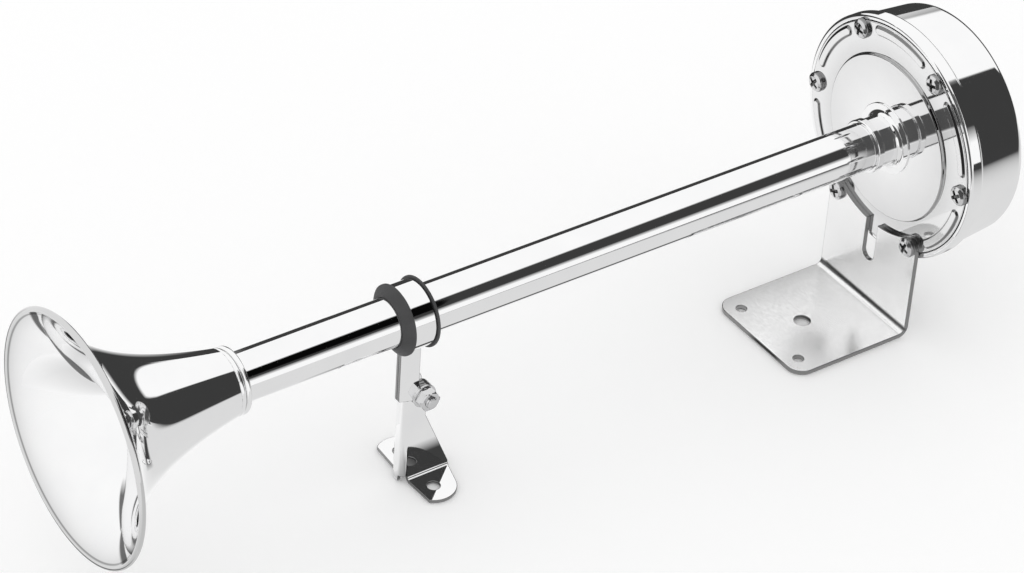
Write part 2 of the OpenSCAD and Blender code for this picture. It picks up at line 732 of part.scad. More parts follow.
module clamp_band() color("gainsboro") {
    front = -clamp_y - band_w / 2;
    back = -clamp_y + band_w / 2;
    leaf_top = axis_h - sqrt(pow(band_in_r, 2) - pow(strap_right, 2));
    difference() {
        union() {
            bar([0, axis_h], band_r, front, back);
            side_sheet(strap_left, strap_w) strap_outline(front, back, leaf_top);
        }
        bar([0, axis_h], band_in_r, front - CUT, back + CUT);
        // The saw-thin gap between the two leaves
        block([strap_x - leaf_gap / 2, front - CUT, bolt_h - 2 * bolt_ear_r],
            [strap_x + leaf_gap / 2, bolt_y + 2 * bolt_ear_r, axis_h]);
        translate([0, bolt_y, bolt_h]) rotate([0, 90, 0])
            cylinder(h = strap_right + CUT, r = bolt_r + FIT);
    }
}

// The doubled strap with its ear back round the bolt
module strap_outline(front, back, top) {
    translate([front, strap_h]) square([back - front, top - strap_h]);
    translate([bolt_y, bolt_h]) circle(r = bolt_ear_r);
    translate([back - 3, bolt_h]) square([bolt_y - back + 3, bolt_ear_r]);
}

// A bar along X about the clamp bolt's axis
module cross_bar(r, x0, x1) translate([x0, bolt_y, bolt_h]) rotate([0, 90, 0])
    cylinder(h = x1 - x0, r = r);

module clamp_bolt() color("silver") {
    head_x = foot_left - SIDE;
    cross_bar(bolt_r, head_x - FIT, nut_x() + nut_h + bolt_tail);
    cross_bar(bolt_head_r, head_x - bolt_head_h, head_x);
}

function nut_x() = strap_right + washer_t;

module clamp_washer() color("silver") difference() {
    cross_bar(washer_r, strap_right, nut_x());
    cross_bar(bolt_r + HOLE, strap_right - CUT, nut_x() + CUT);
}

module clamp_nut() color("silver") difference() {
    translate([nut_x(), bolt_y, bolt_h]) rotate([0, 90, 0])
        cylinder(h = nut_h, r = nut_af / sqrt(3), $fn = 6);
    cross_bar(bolt_r + FIT, nut_x() - CUT, nut_x() + nut_h + CUT);
}

module front_foot() color("whitesmoke") difference() {
    union() {
        side_sheet(foot_left, foot_t) wall_outline();
        side_sheet(foot_right - foot_t, foot_t) wall_outline();
        block([foot_left, web_y, 0], [foot_right, web_y + foot_t, web_h]);
        for (side = [-1, 1]) foot_lobe(side);
    }
    cross_bar(bolt_r + HOLE, foot_left - CUT, foot_right + CUT);
    for (side = [-1, 1]) translate([foot_x + side * foot_hole_spacing / 2, foot_hole_y, -CUT])
        cylinder(h = foot_t + 2 * CUT, d = foot_hole_d);
}

// One side wall of the foot's channel, from the deck to the ear round the bolt
module wall_outline() {
    r = bolt_ear_r;
    polygon([[web_y, 0], [web_y, web_h], [bolt_y - r, bolt_h], [bolt_y + r, bolt_h],
        [bolt_y + r - 1.6, bolt_h - shoulder_drop], [foot_back_y, foot_t], [foot_back_y, 0]]);
    translate([bolt_y, bolt_h]) circle(r = r);
}

// One lobe of the base, whose rear edge runs straight from the wall to the round end
module foot_lobe(side) {
    c = [lobe_x, foot_hole_y];
    corner = [channel_w / 2, foot_back_y] - c;
    tangent = atan2(corner[1], corner[0]) - acos(lobe_r / norm(corner));
    outline = concat([[channel_w / 2 - foot_t, web_y], [c[0], c[1] - lobe_r]],
        arc(c, lobe_r, -90, tangent, 12),
        [[channel_w / 2, foot_back_y], [channel_w / 2 - foot_t, foot_back_y]]);
    translate([foot_x, 0, 0]) mirror([side < 0 ? 1 : 0, 0, 0])
        linear_extrude(height = foot_t) polygon(outline);
}

trumpet_bell();
bell_ferrule();
trumpet_tube();
throat_piece();
front_cover();
front_gasket();
diaphragm();
diaphragm_washer();
diaphragm_nut();
armature();
rear_gasket();
magnet_housing();
nut_ring();
rear_cover();
pole_core();
coil_bobbin();
coil_winding();
contact_block();
breaker_arm();
contact_spacer();
fixed_contact();
breaker_screws();
tuning_screw();
tuning_locknut();
terminal_plate();
terminal_bushes();
terminal_screws();
terminal_nuts();
cable_gland();
case_screws();
rear_bracket();
rubber_sleeve();
clamp_band();
clamp_bolt();
clamp_washer();
clamp_nut();
front_foot();
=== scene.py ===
"""Electric marine trumpet horn: a polished tube with a spun bell, a round sound
unit on an angled bracket, and a rubber-lined clamp with a foot. Shapes are worked
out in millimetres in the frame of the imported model, and meshes are in metres."""

import json
import math

import bpy
import numpy as np
from mathutils import Matrix, Vector
from mathutils.geometry import delaunay_2d_cdt


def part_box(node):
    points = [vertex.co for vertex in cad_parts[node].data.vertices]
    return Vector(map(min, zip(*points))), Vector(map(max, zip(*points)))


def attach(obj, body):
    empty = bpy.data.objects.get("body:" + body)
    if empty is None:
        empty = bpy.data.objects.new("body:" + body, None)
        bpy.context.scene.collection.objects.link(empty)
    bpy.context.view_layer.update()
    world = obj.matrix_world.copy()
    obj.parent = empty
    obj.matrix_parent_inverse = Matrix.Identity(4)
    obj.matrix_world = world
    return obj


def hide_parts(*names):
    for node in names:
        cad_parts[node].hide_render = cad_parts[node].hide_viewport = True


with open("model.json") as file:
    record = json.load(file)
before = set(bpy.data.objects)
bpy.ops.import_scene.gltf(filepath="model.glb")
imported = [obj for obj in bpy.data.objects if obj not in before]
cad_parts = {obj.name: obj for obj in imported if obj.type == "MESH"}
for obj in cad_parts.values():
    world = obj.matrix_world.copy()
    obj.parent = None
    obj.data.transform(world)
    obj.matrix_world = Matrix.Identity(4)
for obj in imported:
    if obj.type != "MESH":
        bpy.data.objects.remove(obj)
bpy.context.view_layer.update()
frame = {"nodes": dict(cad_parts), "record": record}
MM = 0.001


# Camera
# The photograph looks down on the horn from the bell's side through a long lens.
# Its place comes from the circles of the bell, tube and case, fitted together.
scene = bpy.context.scene
scene.view_settings.view_transform = "Standard"
eye = Vector((0.9546, -0.8525, 0.9885))
eye_azimuth = math.radians(53.04)
eye_elevation = math.radians(37.31)
eye_roll = math.radians(4.09)
camera_data = bpy.data.cameras.new("camera")
camera_data.sensor_width = 36
camera_data.lens = 137.6
camera = bpy.data.objects.new("camera", camera_data)
camera.matrix_world = (
    Matrix.Translation(eye)
    @ Matrix.Rotation(eye_azimuth, 4, "Z")
    @ Matrix.Rotation(math.pi / 2 - eye_elevation, 4, "X")
    @ Matrix.Rotation(eye_roll, 4, "Z")
)
scene.collection.objects.link(camera)
scene.camera = camera


# Studio
# A white room: a pale round table under a white sky, with soft black flags that
# only the polished steel sees, as a photographer hangs them to give it edges. A dark strip on the
# table is painted shadow of the tube, and two grey cards at the bell's mouth paint shade inside
# it, both seen only in the steel.
def unit(ways):
    """Directions with their length made 1."""
    return ways / np.linalg.norm(ways, axis=-1, keepdims=True)


def angles_round(count):
    """A column of angles that share out a full turn."""
    return np.linspace(0, 2 * math.pi, count, endpoint=False)[:, None]


def grid_faces(count_u, count_v, wrap_u, wrap_v):
    """Quads between neighbours on a grid whose point (i, j) has number i * count_v + j."""
    i = np.arange(count_u if wrap_u else count_u - 1)
    j = np.arange(count_v if wrap_v else count_v - 1)
    i, j = (a.ravel() for a in np.meshgrid(i, j, indexing="ij"))
    i_next = (i + 1) % count_u
    j_next = (j + 1) % count_v
    corners = ((i, j), (i_next, j), (i_next, j_next), (i, j_next))
    return np.stack([row * count_v + place for row, place in corners], axis=1)


def add_mesh(name, points_m, faces, facing=None):
    """A mesh object from its points in metres, its faces, and the way each point faces."""
    mesh = bpy.data.meshes.new(name)
    mesh.from_pydata(points_m.tolist(), [], faces)
    mesh.validate()
    mesh.shade_smooth()
    if facing is not None:
        mesh.normals_split_custom_set_from_vertices(unit(facing).tolist())
    piece = bpy.data.objects.new(name, mesh)
    scene.collection.objects.link(piece)
    return piece


def node_tools(material):
    """A material's nodes, and what adds a node to them and joins two sockets."""
    tree = material.node_tree
    return tree.nodes, tree.nodes.new, tree.links.new


def new_material(name, kind):
    """A material with one shader, and what adds a node to it and joins two sockets."""
    material = bpy.data.materials.new(name)
    material.use_nodes = True
    nodes, add, link = node_tools(material)
    nodes.clear()
    shader = add(kind)
    link(shader.outputs[0], add("ShaderNodeOutputMaterial").inputs["Surface"])
    return material, shader, add, link


def set_inputs(node, values):
    """Sets a node's sockets by their names."""
    for name, value in values.items():
        node.inputs[name].default_value = value


def mixed_colour(add, link, attribute, colour):
    """A mix that runs to a colour where the mesh's attribute goes to 1."""
    amount = add("ShaderNodeAttribute")
    amount.attribute_name = attribute
    mix = add("ShaderNodeMix")
    mix.data_type = "RGBA"
    mix.inputs[7].default_value = colour
    link(amount.outputs["Fac"], mix.inputs["Factor"])
    return mix


def grey(tone):
    """A grey as a colour."""
    return (tone, tone, tone, 1)


def soft_flag(name, points, inside_by, soft, tone, beyond=1.0):
    """A grid of points that only reflections see. Its tone fades to the one beyond over a soft
    width inside each of its sides."""
    fade = np.ones(points.shape[:2])
    for depth, width in zip(inside_by, soft):
        if width > 0:
            fade *= np.clip(depth / width, 0, 1)
    faces = grid_faces(*points.shape[:2], False, False)
    flag = add_mesh(name, points.reshape(-1, 3), faces.tolist())
    layer = flag.data.attributes.new("soft", "FLOAT", "POINT")
    layer.data.foreach_set("value", 1 - fade.ravel())
    material, glow, add, link = new_material(name + "_tone", "ShaderNodeEmission")
    mix = mixed_colour(add, link, "soft", grey(beyond))
    mix.inputs[6].default_value = grey(tone)
    link(mix.outputs[2], glow.inputs["Color"])
    flag.data.materials.append(material)
    flag.visible_camera = flag.visible_diffuse = flag.visible_shadow = False
    flag.visible_transmission = flag.visible_volume_scatter = False
    return material


def see_through_from_behind(material):
    """Lets rays through the back of a flag, so that only its front is seen."""
    nodes, add, link = node_tools(material)
    choose = add("ShaderNodeMixShader")
    link(add("ShaderNodeNewGeometry").outputs["Backfacing"], choose.inputs["Fac"])
    link(nodes["Emission"].outputs[0], choose.inputs[1])
    link(add("ShaderNodeBsdfTransparent").outputs[0], choose.inputs[2])
    link(choose.outputs[0], nodes["Material Output"].inputs["Surface"])


FLAG_TONE = 0.045
TABLE_TONE = 0.74
horn_middle = np.array([0.0, -0.13, 0.08])


def far_flag(name, low_edge, high_edge, soft, distance=6.0, columns=72, rows=48):
    """A patch of a great sphere round the horn. Its edges run through [azimuth, elevation] in
    degrees, azimuth from +Y towards +X. It fades to white over soft degrees at its first side,
    last side, low edge and high edge."""
    azimuth = np.linspace(high_edge[0][0], high_edge[-1][0], columns)
    low = np.interp(azimuth, *zip(*low_edge))
    high = np.interp(azimuth, *zip(*high_edge))
    height = low + (high - low) * np.linspace(0, 1, rows)[:, None]
    inside_by = (azimuth - azimuth[0], azimuth[-1] - azimuth, height - low, high - height)
    elevation = np.radians(height)
    azimuth = np.radians(azimuth)
    across = np.cos(elevation)
    way = (across * np.sin(azimuth), across * np.cos(azimuth), np.sin(elevation))
    points = horn_middle + distance * np.stack(way, axis=-1)
    soft_flag(name, points, inside_by, soft, FLAG_TONE)


def near_flag(name, corner, edge_u, edge_v, tone, soft=(0, 0, 0, 0), beyond=1.0, steps=40):
    """A rectangle from one corner along two edges, in metres. It fades over soft metres at the
    start and end of its first edge, then of its second."""
    corner, edge_u, edge_v = np.array((corner, edge_u, edge_v), float)
    share = np.linspace(0, 1, steps)
    u, v = np.meshgrid(share, share, indexing="ij")
    points = corner + u[..., None] * edge_u + v[..., None] * edge_v
    length_u = np.linalg.norm(edge_u)
    length_v = np.linalg.norm(edge_v)
    inside_by = (u * length_u, (1 - u) * length_u, v * length_v, (1 - v) * length_v)
    return soft_flag(name, points, inside_by, soft, tone, beyond)


far_flag(
    "flag_wall",
    [[-54, -10], [50, -10]],
    [[-52, 14], [-5, 13], [-2, 15], [3, 20], [8, 29], [13, 38], [17, 45], [24, 51], [50, 53]],
    soft=(7, 0, 0, 3),
)
far_flag("flag_right", [[50, 10], [72, 10]], [[50, 53], [72, 53]], soft=(0, 1, 12, 5))
near_flag("flag_black", (0.31, -0.2, 0.27), (0, 0.21, 0), (0, 0.105, 0.29), 0.002)
near_flag(
    "flag_camera", (0.57, -0.145, 0.3), (-0.184, -0.275, 0), (0, 0, 0.7), 0.035,
    (0.06, 0.06, 0.06, 0.06),
)
near_flag("flag_beside", (-0.165, -0.13, 0), (0, 0.6, 0), (0, 0, 0.14), FLAG_TONE, (0, 0, 0.03, 0))
faces_case = near_flag(
    "flag_facing_case", (0.012, -0.03, 0.04), (0, 0, 0.24), (0.16, 0, 0), 0.09,
    (0.02, 0.03, 0.004, 0.03),
)
see_through_from_behind(faces_case)
near_flag(
    "flag_beside_bell", (-0.16, -0.22, 0), (0, 0.09, 0), (0, 0, 0.14), FLAG_TONE, (0.04, 0, 0, 0)
)
near_flag(
    "flag_table", (-0.03, -0.45, 0.0004), (0.75, 0, 0), (0, 0.95, 0), TABLE_TONE,
    (0.03, 0.05, 0.1, 0.1),
)
near_flag(
    "flag_corner", (0.11, 0.13, 0.0012), (0.69, 0, 0), (0, 0.69, 0), FLAG_TONE,
    (0.22, 0, 0.22, 0), beyond=TABLE_TONE,
)
# Painted shade: two grey cards at the bell's mouth, seen only in reflections, darken the crescents
# inside the bell.
near_flag(
    "flag_below_mouth", (-0.085, -0.3354, 0.002), (0.14, 0, 0), (0, 0, 0.029), 0.17,
    (0.01, 0.02, 0, 0.004),
)
near_flag(
    "flag_beside_mouth", (-0.095, -0.3356, 0.02), (0.041, 0, 0), (0, 0, 0.09), 0.17,
    (0.005, 0.004, 0.005, 0.03),
)
# Painted shadow: a dark strip on the table under the tube, seen only in reflections, stands in for
# the tube's shadow.
near_flag(
    "painted_tube_shadow", (-0.006, -0.2, 0.0008), (0.024, 0, 0), (0, 0.295, 0), 0.05,
    (0.006, 0.006, 0.03, 0), beyond=TABLE_TONE,
)

floor_radius = 0.55
floor_level = -0.0003
floor_sides = 96
floor_paint = 0.95
floor_glow = 0.05
floor_angle = angles_round(floor_sides)
floor_points = np.column_stack((
    floor_radius * np.cos(floor_angle),
    floor_radius * np.sin(floor_angle) + horn_middle[1],
    np.full(floor_sides, floor_level),
))
floor = add_mesh("floor", floor_points, [list(range(floor_sides))])
floor_material, both, add, link = new_material("pale_table", "ShaderNodeAddShader")
paint = add("ShaderNodeBsdfDiffuse")
set_inputs(paint, {"Color": grey(floor_paint)})
path = add("ShaderNodeLightPath")
seen = add("ShaderNodeMath")
seen.operation = "ADD"
seen.use_clamp = True
glow = add("ShaderNodeEmission")
set_inputs(glow, {"Color": grey(floor_glow)})
link(path.outputs["Is Camera Ray"], seen.inputs[0])
link(path.outputs["Is Glossy Ray"], seen.inputs[1])
link(seen.outputs[0], glow.inputs["Strength"])
link(paint.outputs[0], both.inputs[0])
link(glow.outputs[0], both.inputs[1])
floor.data.materials.append(floor_material)

world = bpy.data.worlds.new("white_room")
world.use_nodes = True
set_inputs(world.node_tree.nodes["Background"], {"Color": grey(1), "Strength": 1})
scene.world = world


# Trumpet bell
# A spun flare of polished stainless sheet, 1 mm thick, with its lip rolled outward
# over a wire. It's brazed onto the ferrule behind it.
def node_box(node):
    """A CAD node's lowest and highest corners at rest and half its size, in millimetres."""
    low, high = (np.array(corner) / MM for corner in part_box(node))
    return low, high, (high - low) / 2


class Shaft:
    """An axis that pieces are turned about: a point on it, its direction, and its up."""

    def __init__(self, point, along=(0, 1, 0), up=(0, 0, 1)):
        self.point, self.along, self.up = np.array((point, along, up), float)
        self.side = np.cross(self.along, self.up)

    def across(self, angle):
        """The direction away from the shaft at an angle from up towards the side."""
        return np.cos(angle)[..., None] * self.up + np.sin(angle)[..., None] * self.side

    def turn(self, radial, axial, angle):
        """The direction with these radial and axial parts at an angle."""
        return axial[..., None] * self.along + radial[..., None] * self.across(angle)

    def place(self, radius, level, angle):
        """The point at a radius, a level along the shaft, and an angle."""
        return self.point + self.turn(radius, level, angle)


case_low, case_high, case_half = node_box("rear_cover")
axis_h = (case_low[2] + case_high[2]) / 2
horn_shaft = Shaft((0, 0, axis_h))


def circle(turn):
    """Directions at angles in a plane."""
    return np.stack((np.cos(turn), np.sin(turn)), axis=1)


def rounded(corners, closed=True, steps=6):
    """A profile whose rows are radius, level and corner radius. Each corner becomes an arc that
    touches both sides, and each point faces away from the solid on the left of the path."""
    corners = np.array(corners, float)
    points = []
    facing = []
    count = len(corners)
    for i in range(count):
        here = corners[i, :2]
        before = here - corners[i - 1, :2]
        after = corners[(i + 1) % count, :2] - here
        if not closed and i in (0, count - 1):
            way = unit(after if i == 0 else before)
            points.append(here[None])
            facing.append(np.array([[way[1], -way[0]]]))
            continue
        room = 0.49 * min(np.linalg.norm(before), np.linalg.norm(after))
        before = unit(before)
        after = unit(after)
        bend = math.atan2(before[0] * after[1] - before[1] * after[0], before @ after)
        reach = min(corners[i, 2] * math.tan(abs(bend) / 2), room)
        radius = reach / math.tan(abs(bend) / 2)
        start_facing = math.atan2(-before[0], before[1])
        away = circle(start_facing + bend * np.linspace(0, 1, steps + 1))
        side = math.copysign(radius, bend)
        centre = here - before * reach - side * away[0]
        points.append(centre + side * away)
        facing.append(away)
    return np.concatenate(points), np.concatenate(facing)


def used_points(around, along):
    """Which points are kept of rings whose ends close to one point each."""
    used = np.ones((around, along), bool)
    used[1:, [0, -1]] = False
    return used


def ring_mesh(name, ring, way, closed, smooth=True):
    """A mesh from rings of points that wrap round in their first index. An open one's ends
    close to a point each."""
    around, along = ring.shape[:2]
    flat = ring.reshape(-1, 3) * MM
    way = way.reshape(-1, 3)
    faces = grid_faces(around, along, True, closed)
    if closed:
        return add_mesh(name, flat, faces.tolist(), way if smooth else None)
    used = used_points(around, along)
    number = np.cumsum(used).reshape(around, along) - 1
    number[:, 0] = 0
    number[:, -1] = along - 1
    faces = number.ravel()[faces].reshape(around, along - 1, 4)
    fans = faces[:, 0, 1:].tolist() + faces[:, -1, :3].tolist()
    faces = faces[:, 1:-1].reshape(-1, 4).tolist() + fans
    return add_mesh(name, flat[used.ravel()], faces, way[used.ravel()])


def turned(name, profile, shaft=horn_shaft, closed=True, around=256):
    """Carries a profile of radius and level round a shaft. An open one starts and ends on it."""
    points, facing = profile
    angle = angles_round(around)
    ring = shaft.place(*points.T, angle)
    return ring_mesh(name, ring, shaft.turn(*facing.T, angle), closed)


def store_dullness_and_shade(piece, amount):
    """Stores how far the steel at each point runs to dark grey, from 0 to 1: painted shade, and on
    cut edges also real dullness. What is given for a turned piece's profile holds all the way
    round."""
    amount = np.asarray(amount, float).ravel()
    layer = piece.data.attributes.new("dullness_and_shade", "FLOAT", "POINT")
    layer.data.foreach_set("value", np.tile(amount, len(layer.data) // len(amount)))


finishes = {}


def dress(piece, body, slot, *nodes):
    """Gives a piece its slot's finish and makes it stand for its CAD nodes on their body."""
    piece.data.materials.append(finishes[slot])
    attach(piece, body)
    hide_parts(*nodes)


def noise_of(add, link, scale, detail, stretch=(1, 1, 1)):
    """Noise over the piece's own place, stretched along its axes by three factors."""
    place = add("ShaderNodeTexCoord")
    mapping = add("ShaderNodeMapping")
    noise = add("ShaderNodeTexNoise")
    set_inputs(mapping, {"Scale": stretch})
    set_inputs(noise, {"Scale": scale, "Detail": detail})
    link(place.outputs["Object"], mapping.inputs["Vector"])
    link(mapping.outputs["Vector"], noise.inputs["Vector"])
    return noise.outputs["Fac"]


# Most of the noise lies between these two values
NOISE_LOW = 0.3
NOISE_HIGH = 0.7


def finish(name, metallic, dark, bright, smooth, rough, cloud, grain, depth, stretch=(1, 1, 1)):
    """Slow noise, the cloud, runs the colour from dark to bright. Fine noise, the grain, runs
    the roughness from smooth to rough, and is pressed in, depth metres deep. Each of them is a
    scale and a detail."""
    material, shader, add, link = new_material(name, "ShaderNodeBsdfPrincipled")
    set_inputs(shader, {"Metallic": metallic})
    slow = noise_of(add, link, *cloud)
    fine = noise_of(add, link, *grain, stretch)
    ramp = add("ShaderNodeValToRGB")
    ramp.color_ramp.elements[0].position = NOISE_LOW
    ramp.color_ramp.elements[1].position = NOISE_HIGH
    ramp.color_ramp.elements[0].color = (*dark, 1)
    ramp.color_ramp.elements[1].color = (*bright, 1)
    link(slow, ramp.inputs["Fac"])
    link(ramp.outputs["Color"], shader.inputs["Base Color"])
    spread = add("ShaderNodeMapRange")
    set_inputs(spread, {"From Min": NOISE_LOW, "From Max": NOISE_HIGH})
    set_inputs(spread, {"To Min": smooth, "To Max": rough})
    link(fine, spread.inputs["Value"])
    link(spread.outputs["Result"], shader.inputs["Roughness"])
    press = add("ShaderNodeBump")
    set_inputs(press, {"Strength": 1, "Distance": depth})
    link(fine, press.inputs["Height"])
    link(press.outputs["Normal"], shader.inputs["Normal"])
    return material


def steel(name, dark, bright, smooth, rough, grain, stretch, depth):
    """Stainless steel whose grain is drawn out the way it was rubbed. Where the mesh says so,
    the colour runs to a dark grey: painted shade in creases, recesses and folds, and dull cut
    edges that carry painted shade too."""
    material = finish(name, 1, dark, bright, smooth, rough, (60, 3), (grain, 4), depth, stretch)
    nodes, add, link = node_tools(material)
    base_colour = nodes["Principled BSDF"].inputs["Base Color"]
    # Painted shade: the dark grey that creases, recesses, folds and cut edges run to.
    shade = mixed_colour(add, link, "dullness_and_shade", grey(0.1))
    link(base_colour.links[0].from_socket, shade.inputs[6])
    link(shade.outputs[2], base_colour)
    return material


finishes["polished_steel"] = steel(
    "polished_steel", (0.93, 0.93, 0.935), (0.96, 0.96, 0.96), 0.03, 0.055, 900, (1, 0.06, 1), 2e-7
)

bell_low, bell_high, bell_half = node_box("trumpet_bell")
mouth_r = bell_half[0]
lip_r = 1.3
wall = 1.0
flare_end_r = 13.7
flare_scale = 17.0
flare_power = 0.55
lip_y = bell_low[1] + lip_r
flare_l = bell_high[1] - lip_y
lip_seat = 1.8
lip_turn = math.radians(262)
flare_start_share = 0.11


def flare_r(d):
    """The flare's outer radius d behind the lip's centre: it falls as a power of the distance."""
    fall = (flare_scale / (flare_scale + d)) ** flare_power
    fall_end = (flare_scale / (flare_scale + flare_l)) ** flare_power
    return flare_end_r + (mouth_r - lip_r - flare_end_r) * (fall - fall_end) / (1 - fall_end)


def flare_side(d):
    """The flare's outside at distances behind the lip's centre, and the way it faces."""
    near = 0.01
    slope = (flare_r(d + near) - flare_r(d - near)) / (2 * near)
    points = np.stack((flare_r(d), lip_y + d), axis=1)
    return points, unit(np.stack((np.ones_like(slope), -slope), axis=1))


def bell_profile():
    """The flare's outside, its inside one wall away along the normal, and the rolled lip. The
    wall thickens at the mouth, so that the inside runs onto the lip without a crease."""
    outside, outward = flare_side(flare_l * np.linspace(flare_start_share, 1, 120) ** 2)
    inside_d = flare_l * np.linspace(1, 0, 140) ** 2
    skin, skin_outward = flare_side(inside_d)
    inward = -skin_outward
    depth = wall + (lip_r - wall) * np.clip(1 - inside_d / lip_seat, 0, 1) ** 2
    start = math.atan2(inward[-1, 1], inward[-1, 0])
    roll = circle(np.linspace(start, start + lip_turn, 40)[1:])
    lip = np.array([mouth_r - lip_r, lip_y]) + lip_r * roll
    points = np.concatenate((outside, skin + inward * depth[:, None], lip))
    return points, np.concatenate((outward, inward, roll))


def bell_painted_shade(points):
    """Painted shade: a dark line in the crease where the flare meets the lip, and a darkening that
    fades away from the lip.
    """
    crease_w = 0.3
    lip_shade_w = 4.5
    from_lip = np.hypot(points[:, 0] - (mouth_r - lip_r), points[:, 1] - lip_y) - lip_r
    crease = 0.8 * np.exp(-(((from_lip - 0.25) / crease_w) ** 2)) * (from_lip > 0.02)
    return np.maximum(crease, 0.32 * np.exp(-from_lip / lip_shade_w))


bell = turned("bell", bell_profile(), around=320)
# Painted shade along the lip and its crease.
store_dullness_and_shade(bell, bell_painted_shade(bell_profile()[0]))
dress(bell, "horn", "polished_steel", "trumpet_bell")


# Bell ferrule
# A short turned stainless sleeve with two beads, brazed between bell and tube.
# Its spigot goes into the bell, and the tube into its bore.
tube_low, tube_high, tube_half = node_box("trumpet_tube")
tube_r = tube_half[0]
ferrule_low, ferrule_high, ferrule_half = node_box("bell_ferrule")
ferrule_y = bell_high[1]
bead_r = (ferrule_high[1] - ferrule_y) / 4
bead_middle_r = ferrule_half[0] - bead_r
bead_edge = 84
spigot_r = flare_end_r - wall - 0.05
ferrule_bore = tube_r + 0.05


def arc_points(centre, radius, start, end, steps):
    """Points of an arc about a centre between two angles in degrees."""
    return np.array(centre) + radius * circle(np.radians(np.linspace(start, end, steps + 1)))


def ferrule_profile():
    """Two half round beads side by side, then back through the bore and out along the spigot."""
    corners = [
        [bead_middle_r, ferrule_high[1], 0],
        [ferrule_bore, ferrule_high[1], 0.1],
        [ferrule_bore, ferrule_low[1], 0.1],
        [spigot_r, ferrule_low[1], 0.1],
        [spigot_r, ferrule_y, 0.1],
        [bead_middle_r, ferrule_y, 0],
    ]
    points, facing = rounded(corners, closed=False)
    points = [points[1:-1]]
    facing = [facing[1:-1]]
    for middle_y, start, end in ((bead_r, -90, bead_edge), (3 * bead_r, -bead_edge, 90)):
        way = arc_points((0, 0), 1, start, end, 16)
        points.append(np.array((bead_middle_r, ferrule_y + middle_y)) + bead_r * way)
        facing.append(way)
    return np.concatenate(points), np.concatenate(facing)


ferrule = turned("ferrule", ferrule_profile())
# Painted shade: a dark line in the crease between the two beads.
bead_height = ferrule_profile()[0][:, 0] - bead_middle_r
store_dullness_and_shade(ferrule, 0.8 * np.exp(-((bead_height / 0.35) ** 2)))
dress(ferrule, "horn", "polished_steel", "bell_ferrule")


# Tube
# Seamless stainless tube, mirror polished outside. It runs from the ferrule's
# spigot to the sound unit's cover, where it's brazed into the throat piece.
bore_r = tube_r - wall
tube_profile = [
    [bore_r, tube_low[1], 0.2],
    [tube_r, tube_low[1], 0.2],
    [tube_r, tube_high[1], 0.2],
    [bore_r, tube_high[1], 0.2],
]
tube = turned("tube", rounded(tube_profile), around=384)
dress(tube, "horn", "polished_steel", "trumpet_tube")


# Throat piece
# A turned stainless collar with a rolled bead in front, brazed to the tube and
# flaring in a hollow curve onto the sound unit's cover.
throat_low, throat_high, throat_half = node_box("throat_piece")
disc_y = throat_high[1]
throat_foot_r = throat_half[0]
throat_bore = tube_r + 0.05
neck_r = tube_r + 0.7
throat_bead_r = 11.35
bead_back_y = throat_low[1] + 3.2
foot_front_y = disc_y - 0.6
throat_profile = [
    [throat_bore, throat_low[1], 0.1],
    [throat_bead_r, throat_low[1], 0.8],
    [throat_bead_r, bead_back_y, 0.8],
    [neck_r, bead_back_y, 0.15],
    [neck_r, foot_front_y, throat_foot_r - neck_r],
    [throat_foot_r, foot_front_y, 0.25],
    [throat_foot_r, disc_y, 0.1],
    [throat_bore, disc_y, 0.1],
]
throat = turned("throat", rounded(throat_profile, steps=14))
dress(throat, "horn", "polished_steel", "throat_piece")


# Front cover
# Pressed stainless sheet with a raised disc in the middle, and on its flange five
# pressed ribs that lie between the screws.
_, cover_high, cover_half = node_box("front_cover")
cover_r = cover_half[0]
cover_t = 1.2
cover_back = cover_high[1]
seat_y = cover_back - cover_t
disc_r = 35.3
disc_edge = 0.5
rib_h = 0.8
rib_r = 46.0
rib_half_w = 2.3
rib_side_w = 1.1
rib_half_angle = math.radians(17)
rib_angles = np.radians([0, 60, 120, 240, 300])


def soft_step(value, width):
    """0 below zero and 1 above width, with a smooth rise between."""
    share = np.clip(value / width, 0, 1)
    return share * share * (3 - 2 * share)


def rib_relief(radius, angle):
    """Level of the flange's face, below zero where a rib stands out towards the bell: a rounded
    bar bent along the flange, flat on top."""
    height = np.zeros(np.broadcast(radius, angle).shape)
    for centre in rib_angles:
        away = (angle - centre + math.pi) % (2 * math.pi) - math.pi
        past = np.maximum(np.abs(away) - rib_half_angle, 0) * rib_r
        edge = rib_half_w - np.hypot(radius - rib_r, past)
        height = np.maximum(height, rib_h * soft_step(edge, rib_side_w))
    return -height


def pressed(name, profile, shaft, closed, around, on_face, relief, start=0.0):
    """A turned piece with a relief, a function of radius and angle, pressed into its face along
    the shaft. It gives the piece, and how deep and steep the relief is."""
    points, facing = profile
    radius = points[:, 0]
    angle = angles_round(around)
    turn = angle + start
    near = 1e-3
    depth = relief(radius, turn)
    slope_out = (relief(radius + near, turn) - depth) / near * on_face
    near_turn = near / np.maximum(radius, 0.05)
    slope_round = (relief(radius, turn + near_turn) - depth) / near * on_face
    depth = depth * on_face
    ring = shaft.place(radius, points[:, 1] + depth, angle)
    way = shaft.turn(*facing.T, angle)
    way += slope_out[..., None] * shaft.across(angle)
    way += slope_round[..., None] * shaft.across(angle + math.pi / 2)
    return ring_mesh(name, ring, way, closed), depth, np.hypot(slope_out, slope_round)


